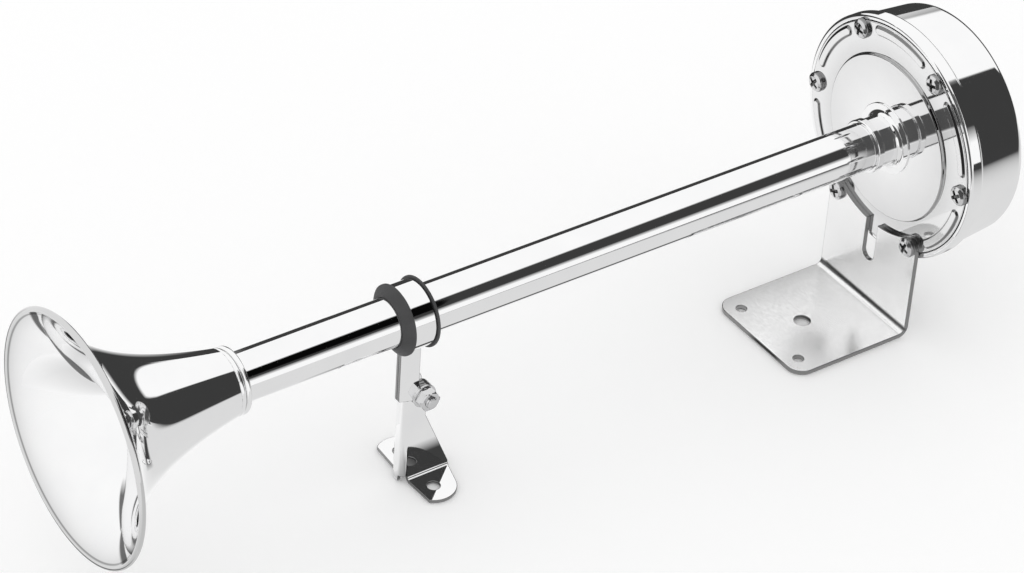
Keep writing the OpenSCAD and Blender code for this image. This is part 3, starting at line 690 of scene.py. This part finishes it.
def cover_profile(steps=6):
    """The disc, its step, the flange and the rim, and back along the inside. Rows close together
    on the flange carry the ribs."""
    front = [
        [bore_r, disc_y, 0.2],
        [disc_r + disc_edge / 2, disc_y, 0.6],
        [disc_r + disc_edge, seat_y, 0.4],
    ]
    back = [
        [cover_r, seat_y, 0.3],
        [cover_r, cover_back, 0.3],
        [disc_r - cover_t, cover_back, 0.3],
        [disc_r - cover_t, disc_y + cover_t, 0.3],
        [bore_r, disc_y + cover_t, 0.2],
    ]
    points, facing = rounded(front + back, steps=steps)
    rows = np.arange(disc_r + 7.5, cover_r - 0.4, 0.16)
    flange = np.column_stack((rows, np.full_like(rows, seat_y)))
    flange_facing = np.tile([0.0, -1.0], (len(rows), 1))
    first = len(front) * (steps + 1)
    points = np.insert(points, first, flange, axis=0)
    return points, np.insert(facing, first, flange_facing, axis=0)


points, facing = cover_profile()
cover, _, rib_slope = pressed(
    "cover", (points, facing), horn_shaft, True, 720, facing[:, 1] < -0.99, rib_relief
)
radius, level = points.T
# Painted shade: a dark line along the disc's step and darker sides on the ribs. The flange is also
# a little darker all over.
step_shade = 0.6 * np.exp(-(((radius - disc_r - 0.25) / 0.45) ** 2)) * (level < cover_back)
flange_grey = 0.12 * (radius > disc_r + disc_edge)
store_dullness_and_shade(cover, np.clip(0.9 * rib_slope + step_shade, 0, 0.75) + flange_grey)
dress(cover, "horn", "polished_steel", "front_cover")


# Rear cover
# A deep drawn stainless cup with a rolled rim. The case screws draw it over the
# diaphragm's stack from behind.
rim_r = case_half[0]
rim_y = case_low[1]
rim_back_y = rim_y + 5.8
cup_back_y = case_high[1]
cup_t = 1.0
cup_floor_y = cup_back_y - cup_t
cup_mouth_r = cover_r + 0.3
cup_front_r = 50.4
cup_back_r = 48.35
cup_wall_y = rim_back_y + 1
cup_profile = [
    [0, cup_floor_y, 0],
    [cup_back_r - cup_t, cup_floor_y, 3.5],
    [cup_front_r - cup_t, cup_wall_y, 1.0],
    [cup_mouth_r, rim_back_y, 1.0],
    [cup_mouth_r, rim_y, 0.4],
    [rim_r, rim_y, 1.9],
    [rim_r, rim_back_y, 2.4],
    [cup_front_r, cup_wall_y, 0.8],
    [cup_back_r, cup_back_y, 4.5],
    [0, cup_back_y, 0],
]
cup = turned("case", rounded(cup_profile, closed=False, steps=10), closed=False, around=384)
dress(cup, "horn", "polished_steel", "rear_cover")


# Cable gland
# A moulded rubber bush pressed into the case's back, with a hole for the cable.
# Its skin has a fine grain, and patches a shade lighter.
rubber = finish(
    "black_rubber", 0, (0.045, 0.045, 0.046), (0.062, 0.062, 0.064), 0.5, 0.68,
    (90, 4), (2500, 3), 2e-5,
)
set_inputs(node_tools(rubber)[0]["Principled BSDF"], {"Specular IOR Level": 0.4})
finishes["rubber"] = rubber

gland_low, gland_high, gland_half = node_box("cable_gland")
gland_head_r = gland_half[0]
gland_shank_r = gland_head_r - 0.8
cable_r = 2.5
gland_shaft = Shaft((gland_low + gland_half) * (1, 0, 1))
gland_profile = [
    [cable_r, gland_low[1], 0.2],
    [gland_head_r, gland_low[1], 0.3],
    [gland_head_r, cup_floor_y, 0.2],
    [gland_shank_r, cup_floor_y, 0.1],
    [gland_shank_r, cup_back_y, 0.1],
    [gland_head_r, cup_back_y, 0.2],
    [gland_head_r, cup_back_y + 2.2, 0.7],
    [gland_head_r - 1.0, cup_back_y + 2.6, 0.5],
    [gland_head_r - 1.3, gland_high[1], 0.6],
    [cable_r, gland_high[1], 0.4],
]
gland = turned("gland", rounded(gland_profile), gland_shaft, around=96)
dress(gland, "horn", "rubber", "cable_gland")


# Case screws
# Six stainless pan head screws with cross recesses. They clamp the front cover,
# the gaskets and the magnet housing to the threaded ring in the case, and the
# two lowest hold the bracket too.
finishes["fastener_steel"] = steel(
    "bright_steel", (0.62, 0.62, 0.63), (0.78, 0.78, 0.78), 0.09, 0.2, 1600, (1, 1, 1), 1.5e-6
)
screw_circle_r = 46.0
screw_angles = np.radians([30, 90, 150, 210, 270, 330])
on_bracket = (2, 3)
screw_head_r = 4.25
screw_head_h = 2.6
screw_r = 2.0
screw_end_y = node_box("case_screws")[1][1]
bracket_t = 2.0
recess_reach = 2.75
recess_half_w = 0.6
recess_depth = 1.3
recess_turns = np.radians([12, 40, 71, 25, 58, 83])


def recess(radius, angle):
    """Depth of a cross recess: two slots through the middle that are shallower at their ends."""
    u = np.abs(radius * np.cos(angle))
    v = np.abs(radius * np.sin(angle))
    out = np.maximum(u, v) / recess_reach
    side = soft_step(recess_half_w * (1.25 - 0.25 * out) - np.minimum(u, v) + 0.1, 0.2)
    end = soft_step(recess_reach * (1 - out), 0.35)
    return recess_depth * side * end * (1 - 0.45 * out)


def head_dome(radius):
    """How far a screw's head has fallen away behind its middle."""
    return 0.35 * (radius / screw_head_r) ** 2


def screw_mesh(name, angle_on_circle, seat, recess_turn):
    """A screw's profile round its own axis, with the recess pressed into its head."""
    x = screw_circle_r * math.sin(angle_on_circle)
    z = axis_h + screw_circle_r * math.cos(angle_on_circle)
    front = seat - screw_head_h
    face_r = screw_head_r - 1.3
    corners = [
        [0, front, 0],
        [face_r, front + head_dome(face_r), 0.3],
        [screw_head_r, front + 1.2, 1.3],
        [screw_head_r, seat, 0.15],
        [screw_r, seat, 0.1],
        [screw_r, screw_end_y, 0.4],
        [0, screw_end_y, 0],
    ]
    points, facing = rounded(corners, closed=False, steps=8)
    rows = np.arange(0.08, screw_head_r - 1.5, 0.09)
    face = np.stack((rows, front + head_dome(rows)), axis=1)
    face_facing = np.stack((2 * head_dome(rows) / rows, -np.ones_like(rows)), axis=1)
    points = np.insert(points, 1, face, axis=0)
    facing = np.insert(facing, 1, face_facing, axis=0)
    on_head = np.arange(len(points)) <= len(rows)
    screw, depth, _ = pressed(
        name, (points, facing), Shaft((x, 0, z)), False, 120, on_head, recess, recess_turn
    )
    # Painted shade in the cross recess and painted shadow round the rim of the head.
    in_recess = np.clip(depth / 0.25, 0, 0.95)
    at_rim = soft_step(points[:, 0] - screw_head_r + 0.7, 0.7) * (points[:, 1] > front + 1)
    dullness_and_shade = np.maximum(in_recess, 0.7 * at_rim)
    store_dullness_and_shade(screw, dullness_and_shade[used_points(*dullness_and_shade.shape)])
    return screw


for i in range(len(screw_angles)):
    seat = seat_y - bracket_t if i in on_bracket else seat_y
    screw = screw_mesh(f"case_screw_{i + 1}", screw_angles[i], seat, recess_turns[i])
    dress(screw, "horn", "fastener_steel", "case_screws")


# Rear bracket
# Stainless sheet, 2 mm thick, cut, drilled and folded once, with a satin finish.
# It stands on the deck and is held by the case's two lowest screws.
def distance_along(line):
    """Distance along a line at each of its points."""
    step = np.linalg.norm(np.diff(line, axis=0), axis=1)
    return np.concatenate(([0.0], np.cumsum(step)))


def at_distance(s, distance, values):
    """A line's pairs of values at distances s along it."""
    return np.stack([np.interp(s, distance, values[:, k]) for k in (0, 1)], axis=-1)


def dense(loop, pitch):
    """A closed loop with points added so that no side is longer than the pitch."""
    loop = np.asarray(loop, float)
    sides = np.roll(loop, -1, axis=0) - loop
    count = np.maximum(np.ceil(np.linalg.norm(sides, axis=1) / pitch).astype(int), 1)
    start = np.repeat(np.arange(len(loop)), count)
    share = np.arange(count.sum()) - np.repeat(np.cumsum(count) - count, count)
    share = share / count[start]
    return loop[start] + sides[start] * share[:, None]


def loop_facing(loop):
    """The direction out of the sheet at each point of a loop: right of its path."""
    along = unit(np.roll(loop, -1, axis=0) - np.roll(loop, 1, axis=0))
    return np.stack((along[:, 1], -along[:, 0]), axis=1)


def inside_loops(points, loops, margin):
    """Which points lie in the sheet, at least a margin from every edge."""
    keep = np.ones(len(points), bool)
    x, y = points[:, None, 0], points[:, None, 1]
    for loop in loops:
        after = np.roll(loop, -1, axis=0)
        above = (loop[:, 1] > y) != (after[:, 1] > y)
        rise = np.where(after[:, 1] == loop[:, 1], 1, after[:, 1] - loop[:, 1])
        cross_x = loop[:, 0] + (after[:, 0] - loop[:, 0]) / rise * (y - loop[:, 1])
        odd = (above & (x < cross_x)).sum(axis=1) % 2 == 1
        near = np.linalg.norm(points[:, None] - loop[None], axis=2).min(axis=1)
        keep &= (odd if loop is loops[0] else ~odd) & (near > margin)
    return keep


def filled(loops, low, high, pitch):
    """Fills a sheet between its loops with a grid of points, joined by anticlockwise
    triangles."""
    axes = [np.arange(low[k] + pitch / 2, high[k], pitch) for k in (0, 1)]
    grid = np.stack(np.meshgrid(*axes, indexing="ij"), axis=-1).reshape(-1, 2)
    grid = grid[inside_loops(grid, loops, 0.55 * pitch)]
    border = []
    start = 0
    for loop in loops:
        number = np.arange(len(loop)) + start
        border += np.stack((number, np.roll(number, -1)), axis=1).tolist()
        start += len(loop)
    flat = np.concatenate(loops + [grid])
    made = delaunay_2d_cdt([Vector(p) for p in flat], border, [], 0, 1e-7)
    flat = np.array([[p.x, p.y] for p in made[0]])
    triangles = np.array(made[2])
    triangles = triangles[inside_loops(flat[triangles].mean(axis=1), loops, 0)]
    corner = flat[triangles]
    turn = np.cross(corner[:, 1] - corner[:, 0], corner[:, 2] - corner[:, 0])
    triangles[turn < 0] = triangles[turn < 0][:, ::-1]
    return flat, triangles


def sheet_piece(name, outline, holes, thickness, place, pitch=0.8, edge=0.3, extra_shade=None):
    """Sheet metal from its flat blank, whose outline runs anticlockwise and holes clockwise.
    Both faces are filled with triangles, and a rounded edge runs round every loop. place folds
    points of the blank, each with a height off its middle."""
    loops = [dense(outline, pitch)] + [dense(hole, pitch * 0.5) for hole in holes]
    face_loops = [loop - edge * loop_facing(loop) for loop in loops]
    flat, triangles = filled(face_loops, loops[0].min(axis=0), loops[0].max(axis=0), pitch)
    count = len(flat)
    half = thickness / 2
    blank = [np.column_stack((flat, np.full(count, side * half))) for side in (1, -1)]
    lean = [np.tile([0.0, 0.0, side], (count, 1)) for side in (1, -1)]
    faces = triangles.tolist() + (triangles[:, ::-1] + count).tolist()
    total = 2 * count
    steps = 5
    quarter = np.radians(np.linspace(90, 0, steps))
    tilt = np.concatenate((quarter, -quarter[::-1]))
    for loop, face_loop in zip(loops, face_loops):
        away = np.zeros((len(loop), 2 * steps, 3))
        away[..., :2] = np.cos(tilt)[:, None] * loop_facing(loop)[:, None]
        away[..., 2] = np.sin(tilt)
        centre = np.zeros_like(away)
        centre[..., :2] = face_loop[:, None]
        centre[..., 2] = np.repeat([half - edge, edge - half], steps)
        blank.append((centre + edge * away).reshape(-1, 3))
        lean.append(away.reshape(-1, 3))
        faces += (grid_faces(len(loop), 2 * steps, True, False)[:, ::-1] + total).tolist()
        total += len(loop) * 2 * steps
    blank = np.concatenate(blank)
    lean = np.concatenate(lean)
    step_u, step_v = 1e-3 * np.eye(3)[:2]
    along_u = place(blank + step_u) - place(blank - step_u)
    along_v = place(blank + step_v) - place(blank - step_v)
    axes = (unit(along_u), unit(along_v), unit(np.cross(along_u, along_v)))
    way = sum(lean[:, k, None] * axes[k] for k in range(3))
    sheet = add_mesh(name, place(blank) * MM, faces, way)
    # The rounded edges run to dark grey: the dull cut edge of the sheet, and painted shade with
    # it.
    dullness_and_shade = np.where(np.arange(len(blank)) < 2 * count, 0, 0.8)
    store_dullness_and_shade(sheet, dullness_and_shade if extra_shade is None else np.maximum(dullness_and_shade, extra_shade(blank)))
    return sheet


def hole(centre, radius):
    """A round hole's loop, clockwise."""
    return arc_points(centre, radius, 350, 0, 35)


finishes["satin_steel"] = steel(
    "satin_steel", (0.93, 0.93, 0.93), (0.97, 0.97, 0.97), 0.16, 0.26, 1400, (0.3, 1, 1), 1.2e-6
)

bracket_low, _, bracket_half = node_box("rear_bracket")
half_w = bracket_half[0]
base_front = bracket_low[1]
base_corner_r = 7.0
base_hole_x = 19.3
base_hole_r = 2.2
centre_hole_y = 17.0
centre_hole_r = 3.4
bend_middle_r = 2.5 + bracket_t / 2
base_mid_h = bracket_t / 2
upright_mid_y = seat_y - bracket_t / 2
arc_r = 42.0
ear_corner_r = 7.0
screw_x = screw_circle_r * math.sin(math.radians(30))
screw_h = axis_h - screw_circle_r * math.cos(math.radians(30))
ear_side_h = screw_h - 2.2
slot_half_w = 3.5
slot_h = 22.0

bracket_corners = [
    [base_front, base_mid_h, 0],
    [upright_mid_y, base_mid_h, bend_middle_r],
    [upright_mid_y, axis_h, 0],
]
bracket_line, bracket_facing = rounded(bracket_corners, closed=False, steps=24)
bracket_distance = distance_along(bracket_line)
# What the blank saves in length where the bend cuts the corner
bend_gain = (2 - math.pi / 2) * bend_middle_r


def fold_bracket(blank):
    """Across the blank is X; along it runs the path up the base, round the bend and up."""
    place = at_distance(blank[:, 1], bracket_distance, bracket_line)
    right = unit(at_distance(blank[:, 1], bracket_distance, bracket_facing))
    return np.column_stack((blank[:, 0], place - right * blank[:, 2:]))


def run_of(height):
    """Distance along the blank to a height up the upright."""
    return height - base_mid_h + upright_mid_y - base_front - bend_gain


def bracket_outline():
    """Right half of the blank, then the same mirrored: front corner, ear, the arc about the
    horn's axis, and the slot that opens into it."""
    ear_x = half_w - ear_corner_r
    ear_down = axis_h - ear_side_h
    # The ear's round corner and the arc meet in a cusp
    apart = math.hypot(ear_x, ear_down)
    at_ear = math.acos((apart**2 + ear_corner_r**2 - arc_r**2) / (2 * apart * ear_corner_r))
    corner_end = math.atan2(ear_down, -ear_x) - at_ear
    start = math.asin((ear_x + ear_corner_r * math.cos(corner_end)) / arc_r)
    turn = np.linspace(start, math.asin(slot_half_w / arc_r), 40)
    corner_end = math.degrees(corner_end)
    right = np.concatenate((
        arc_points((half_w - base_corner_r, base_corner_r), base_corner_r, -90, 0, 10),
        arc_points((ear_x, run_of(ear_side_h)), ear_corner_r, 0, corner_end, 14),
        np.stack((arc_r * np.sin(turn), run_of(axis_h - arc_r * np.cos(turn))), axis=1),
        arc_points((0, run_of(slot_h + slot_half_w)), slot_half_w, 0, -90, 12),
    ))
    return np.concatenate((right, right[::-1][1:] * [-1, 1]))


def bend_shade(blank):
    """Painted shade: a dark line inside the bend, where the upright starts."""
    from_line = blank[:, 1] - run_of(base_mid_h + bend_middle_r) + 1.0
    return np.exp(-((from_line / 1.25) ** 4)) * (blank[:, 2] > 0)


bracket_holes = [hole((0, centre_hole_y - base_front), centre_hole_r)]
for side in (-1, 1):
    bracket_holes.append(hole((side * base_hole_x, -base_front), base_hole_r))
    bracket_holes.append(hole((side * screw_x, run_of(screw_h)), screw_r + 0.2))
bracket = sheet_piece(
    "bracket", bracket_outline(), bracket_holes, bracket_t, fold_bracket, extra_shade=bend_shade
)
dress(bracket, "horn", "satin_steel", "rear_bracket")


# Rubber sleeve
# A moulded rubber bush on the tube, with a flange each side of the clamp's band
# and a tapered nose in front.
sleeve_low, sleeve_high, sleeve_half = node_box("rubber_sleeve")
sleeve_r = sleeve_half[0]
sleeve_l = 11.8
sleeve_back = sleeve_high[1]
sleeve_front = sleeve_back - sleeve_l
sleeve_flange = 1.0
groove_r = 11.9
sleeve_bore = tube_r + 0.1
sleeve_profile = [
    [sleeve_bore, sleeve_low[1], 0.15],
    [tube_r + 1, sleeve_low[1], 0.3],
    [sleeve_r, sleeve_front, 0.3],
    [sleeve_r, sleeve_front + sleeve_flange, 0.3],
    [groove_r, sleeve_front + sleeve_flange, 0.2],
    [groove_r, sleeve_back - sleeve_flange, 0.2],
    [sleeve_r, sleeve_back - sleeve_flange, 0.3],
    [sleeve_r, sleeve_back, 0.35],
    [sleeve_bore, sleeve_back, 0.15],
]
sleeve = turned("sleeve", rounded(sleeve_profile))
dress(sleeve, "sleeve", "rubber", "rubber_sleeve")


# Clamp band
# A polished stainless strip bent round the sleeve. Its two ends meet below and
# hang down as a doubled strap, with an ear for the bolt.
band_t = 1.3
band_middle_r = groove_r + 0.1 + band_t / 2
band_half_w = (sleeve_l - 2 * sleeve_flange - 0.6) / 2
clamp_mid_y = (sleeve_front + sleeve_back) / 2
strap_x = 2.5
leaf_gap = 0.2
leaf_bend_r = 1.2
strap_h = 45.0
bolt_h = 44.0
bolt_from_mid = 7.1
bolt_y = clamp_mid_y + bolt_from_mid
bolt_ear_r = 5.0
bolt_r = 2.5


def band_path():
    """The strip's middle line across the horn: up one leaf, round the tube and down the other,
    with a small hollow bend where each leaf leaves the ring."""
    sides = np.array([-1, 1])
    leaf = strap_x + sides * (leaf_gap + band_t) / 2
    bottom = bolt_h - bolt_ear_r - axis_h
    # Each bend's centre lies its radius outside the leaf and outside the ring
    x = leaf + sides * leaf_bend_r
    z = -np.sqrt((band_middle_r + leaf_bend_r) ** 2 - x**2)
    inward = np.degrees(np.arctan2(-z, -x))
    meet = np.degrees(np.arctan2(z, x))
    line = np.concatenate((
        [[leaf[0], bottom]],
        arc_points((x[0], z[0]), leaf_bend_r, 0, inward[0], 9),
        arc_points((0, 0), band_middle_r, meet[0], meet[1] - 360, 159)[1:-1],
        arc_points((x[1], z[1]), leaf_bend_r, inward[1], 180, 9),
        [[leaf[1], bottom]],
    ))
    distance = distance_along(line)
    along = np.gradient(line, distance, axis=0, edge_order=1)
    along[:2] = [0, 1]
    along[-2:] = [0, -1]
    return line, distance, unit(along)


band_line, band_distance, band_along = band_path()
band_l = band_distance[-1]


def fold_band(blank):
    """Along the blank runs the middle line round the tube; across it is Y."""
    s = blank[:, 0]
    along = unit(at_distance(s, band_distance, band_along))
    out = np.stack((-along[:, 1], along[:, 0]), axis=1)
    past = (s - np.clip(s, 0, band_l))[:, None]
    point = at_distance(s, band_distance, band_line) + past * along + out * blank[:, 2:]
    return np.column_stack((point[:, 0], clamp_mid_y + blank[:, 1], axis_h + point[:, 1]))


def band_outline():
    """The whole blank, anticlockwise, with its two ends alike."""
    strap_s = strap_h - (bolt_h - bolt_ear_r)
    ear_top_s = 2 * bolt_ear_r
    end = np.concatenate((
        [[strap_s + 0.5, -band_half_w], [strap_s, -band_half_w + 0.5]],
        arc_points((bolt_ear_r, bolt_from_mid), bolt_ear_r, -98, -360, 30),
        [[ear_top_s + 0.3, band_half_w + 0.3], [ear_top_s + 0.8, band_half_w]],
    ))
    return np.concatenate((end, end[::-1] * [-1, 1] + [band_l, 0]))[::-1]


band_holes = [hole((s, bolt_from_mid), bolt_r + 0.05) for s in (bolt_ear_r, band_l - bolt_ear_r)]
band = sheet_piece("band", band_outline(), band_holes, band_t, fold_band, pitch=0.6, edge=0.22)
dress(band, "band", "polished_steel", "clamp_band")


# Clamp bolt, washer and nut
# A stainless M5 bolt through the foot's ears and the doubled strap, with a plain
# washer and a hexagonal nut on the outside.
bolt_low, bolt_high, bolt_half = node_box("clamp_bolt")
bolt_shaft = Shaft((0, bolt_y, bolt_h), along=(1, 0, 0))
bolt_head_r = bolt_half[1]
bolt_seat_x = bolt_low[0] + 3.0
thread_pitch = 0.8
thread_depth = 0.4


def thread_rows(start, end):
    """Profile corners of thread grooves: a crest, and a root half a pitch on, at each pitch."""
    rows = []
    for level in np.arange(start, end - thread_pitch / 2, thread_pitch):
        rows += [[bolt_r, level, 0.1], [bolt_r - thread_depth, level + thread_pitch / 2, 0.1]]
    return rows


bolt_profile = (
    [
        [0, bolt_low[0], 0],
        [bolt_head_r - 1.4, bolt_low[0], 0.6],
        [bolt_head_r, bolt_low[0] + 1.4, 1.4],
        [bolt_head_r, bolt_seat_x, 0.2],
        [bolt_r, bolt_seat_x, 0.1],
    ]
    + thread_rows(strap_x + band_t + 1.2, bolt_high[0] - 0.5)
    + [[bolt_r - 0.2, bolt_high[0], 0.35], [0, bolt_high[0], 0]]
)
bolt = turned("bolt", rounded(bolt_profile, closed=False), bolt_shaft, closed=False, around=96)
dress(bolt, "band", "fastener_steel", "clamp_bolt")

washer_low, washer_high, washer_half = node_box("clamp_washer")
washer_r = washer_half[1]
washer_bore = bolt_r + 0.15
washer_profile = [
    [washer_bore, washer_low[0], 0.12],
    [washer_r, washer_low[0], 0.12],
    [washer_r, washer_high[0], 0.3],
    [washer_bore, washer_high[0], 0.12],
]
washer = turned("washer", rounded(washer_profile), bolt_shaft, around=128)
dress(washer, "band", "fastener_steel", "clamp_washer")

nut_low, nut_high, nut_half = node_box("clamp_nut")
nut_half_af = 4.0
nut_bore = bolt_r + 0.05


def nut_mesh():
    """A hexagon across angle, cut by a cone at each end: the radius is the smaller of both. Its
    first row and last three are the bore."""
    share = np.array([0, 0, 0.25, 0.5, 1, 2, 3, 3.5, 3.75, 4, 4, 4, 2, 0]) / 4
    level = nut_low[0] + 2 * nut_half[0] * share
    angle = angles_round(144)
    flat = (angle + math.pi / 6) % (math.pi / 3) - math.pi / 6
    to_end = np.minimum(level - nut_low[0], nut_high[0] - level)
    cone = nut_half_af - 0.15 + to_end * math.tan(math.radians(60))
    radius = np.minimum(nut_half_af / np.cos(flat), cone)
    radius[:, [0, -1, -2, -3]] = nut_bore
    ring = bolt_shaft.place(radius, level, angle)
    nut = ring_mesh("nut", ring, ring, True, smooth=False)
    nut.data.set_sharp_from_angle(angle=math.radians(25))
    return nut


nut = nut_mesh()
dress(nut, "band", "fastener_steel", "clamp_nut")


# Front foot
# One stainless sheet folded to a narrow channel, open behind, whose sides turn
# outward at the deck into two round lobes with a screw hole each.
foot_t = 1.5
channel_right = 0.9
channel_w = 7.4
foot_x = channel_right - channel_w / 2
web_y = node_box("front_foot")[0][1]
web_h = 41.0
foot_back_y = bolt_y + 15.2
foot_hole_y = bolt_y + 3
foot_hole_x = 12.2
foot_hole_r = 2.65
lobe_r = 9.7
lobe_x = foot_hole_x - 0.8
fold_mid = 1.1 + foot_t / 2
half_mid = channel_w / 2 - foot_t / 2
web_mid_y = web_y + foot_t / 2
web_flat = half_mid - fold_mid
corner_run = fold_mid * math.pi / 2
wall_start = web_flat + corner_run
wall_start_y = web_mid_y + fold_mid
lobe_fold_h = foot_t / 2 + fold_mid


def fold_foot(blank):
    """Across the blank: the web, a bend, and a side running back. Down the blank: below the
    lower fold each side bends outward and runs flat along the deck."""
    s, height, off = blank.T
    side = np.where(s < 0, -1.0, 1.0)
    far = np.abs(s)
    turn = np.clip((far - web_flat) / fold_mid, 0, math.pi / 2)
    below = np.maximum(lobe_fold_h - height, 0) * (far > web_flat + 0.5)
    drop = np.clip(below / fold_mid, 0, math.pi / 2)
    x = np.minimum(far, web_flat) + fold_mid * np.sin(turn)
    x += fold_mid * (1 - np.cos(drop)) + np.maximum(below - corner_run, 0)
    x += off * np.sin(turn) * np.cos(drop)
    y = web_mid_y + fold_mid * (1 - np.cos(turn)) + np.maximum(far - wall_start, 0)
    y -= off * np.cos(turn)
    z = np.where(below > 0, lobe_fold_h - fold_mid * np.sin(drop), height)
    return np.stack((foot_x + side * x, y, z + off * np.sin(drop)), axis=1)


def side_s(y):
    """Distance across the blank to a level along the horn, on one side of the channel."""
    return wall_start + y - wall_start_y


def lobe_v(x):
    """Height on the blank of a place out along the deck from the channel's middle."""
    return lobe_fold_h - corner_run - (x - half_mid - fold_mid)


def foot_outline():
    """Right half of the blank from the web's foot: relief, lobe, rear edge, ear and web top."""
    centre = np.array([side_s(foot_hole_y), lobe_v(lobe_x)])
    rear = np.array([side_s(foot_back_y), lobe_fold_h - corner_run * 0.6])
    gap = rear - centre
    tangent = math.degrees(math.atan2(gap[1], gap[0]) - math.acos(lobe_r / math.hypot(*gap)))
    relief_s = wall_start + 0.35
    lobe = arc_points(centre, lobe_r, -180, tangent, 40)
    right = np.concatenate((
        [[web_flat, 0.0], [web_flat + 0.2, 0.3], [web_flat + 0.4, lobe_fold_h + 0.2]],
        [[relief_s, lobe_fold_h + 0.2], [relief_s + 0.1, lobe_fold_h - 0.4]],
        [[side_s(web_y + foot_t) + 1.2, lobe_fold_h - corner_run]],
        lobe[lobe[:, 0] > relief_s],
        [rear, [side_s(foot_back_y), lobe_fold_h + 0.5]],
        [[side_s(bolt_y + bolt_ear_r - 1.6), bolt_h - 13]],
        arc_points((side_s(bolt_y), bolt_h), bolt_ear_r, -6, 172, 24),
        [[wall_start + 0.6, web_h + 0.9], [wall_start - 0.8, web_h], [web_flat, web_h]],
    ))
    return np.concatenate((right, right[::-1] * [-1, 1]))


foot_holes = []
for side in (-1, 1):
    foot_holes.append(hole((side * side_s(foot_hole_y), lobe_v(foot_hole_x)), foot_hole_r))
    foot_holes.append(hole((side * side_s(bolt_y), bolt_h), bolt_r + 0.15))
foot = sheet_piece("foot", foot_outline(), foot_holes, foot_t, fold_foot, pitch=0.5, edge=0.25)
dress(foot, "foot", "polished_steel", "front_foot")


# Pieces inside the case
# The diaphragm's stack, magnet, contact breaker and terminals stay as the CAD
# makes them, each in the finish of its real stuff.
even = (1, 1, 1)
for slot, name, metallic, dark, bright, smooth, rough, grain, depth, stretch in (
    ("magnet_iron", "zinc_plated_iron", 1, (0.42, 0.42, 0.43), (0.52, 0.52, 0.53),
     0.3, 0.45, 1200, 1e-5, even),
    ("spring_steel", "spring_steel", 1, (0.5, 0.51, 0.55), (0.58, 0.59, 0.63),
     0.18, 0.3, 1500, 5e-6, (0.1, 1, 1)),
    ("contact_brass", "brass", 1, (0.7, 0.52, 0.24), (0.8, 0.62, 0.32),
     0.2, 0.34, 1500, 5e-6, even),
    ("laminate", "laminate", 0, (0.25, 0.11, 0.05), (0.36, 0.17, 0.08),
     0.45, 0.6, 900, 2e-5, even),
    ("moulding", "nylon", 0, (0.03, 0.03, 0.03), (0.055, 0.055, 0.055),
     0.4, 0.55, 1800, 1e-5, even),
    ("winding", "enamelled_copper", 1, (0.6, 0.26, 0.12), (0.75, 0.36, 0.18),
     0.22, 0.34, 2600, 4e-5, (0.05, 1, 0.05)),
):
    finishes[slot] = finish(
        name, metallic, dark, bright, smooth, rough, (120, 3), (grain, 3), depth, stretch
    )
for subpart in frame["record"]["subparts"]:
    for material_slot in frame["nodes"][subpart["node"]].material_slots:
        material_slot.material = finishes[subpart["material_slot"]]
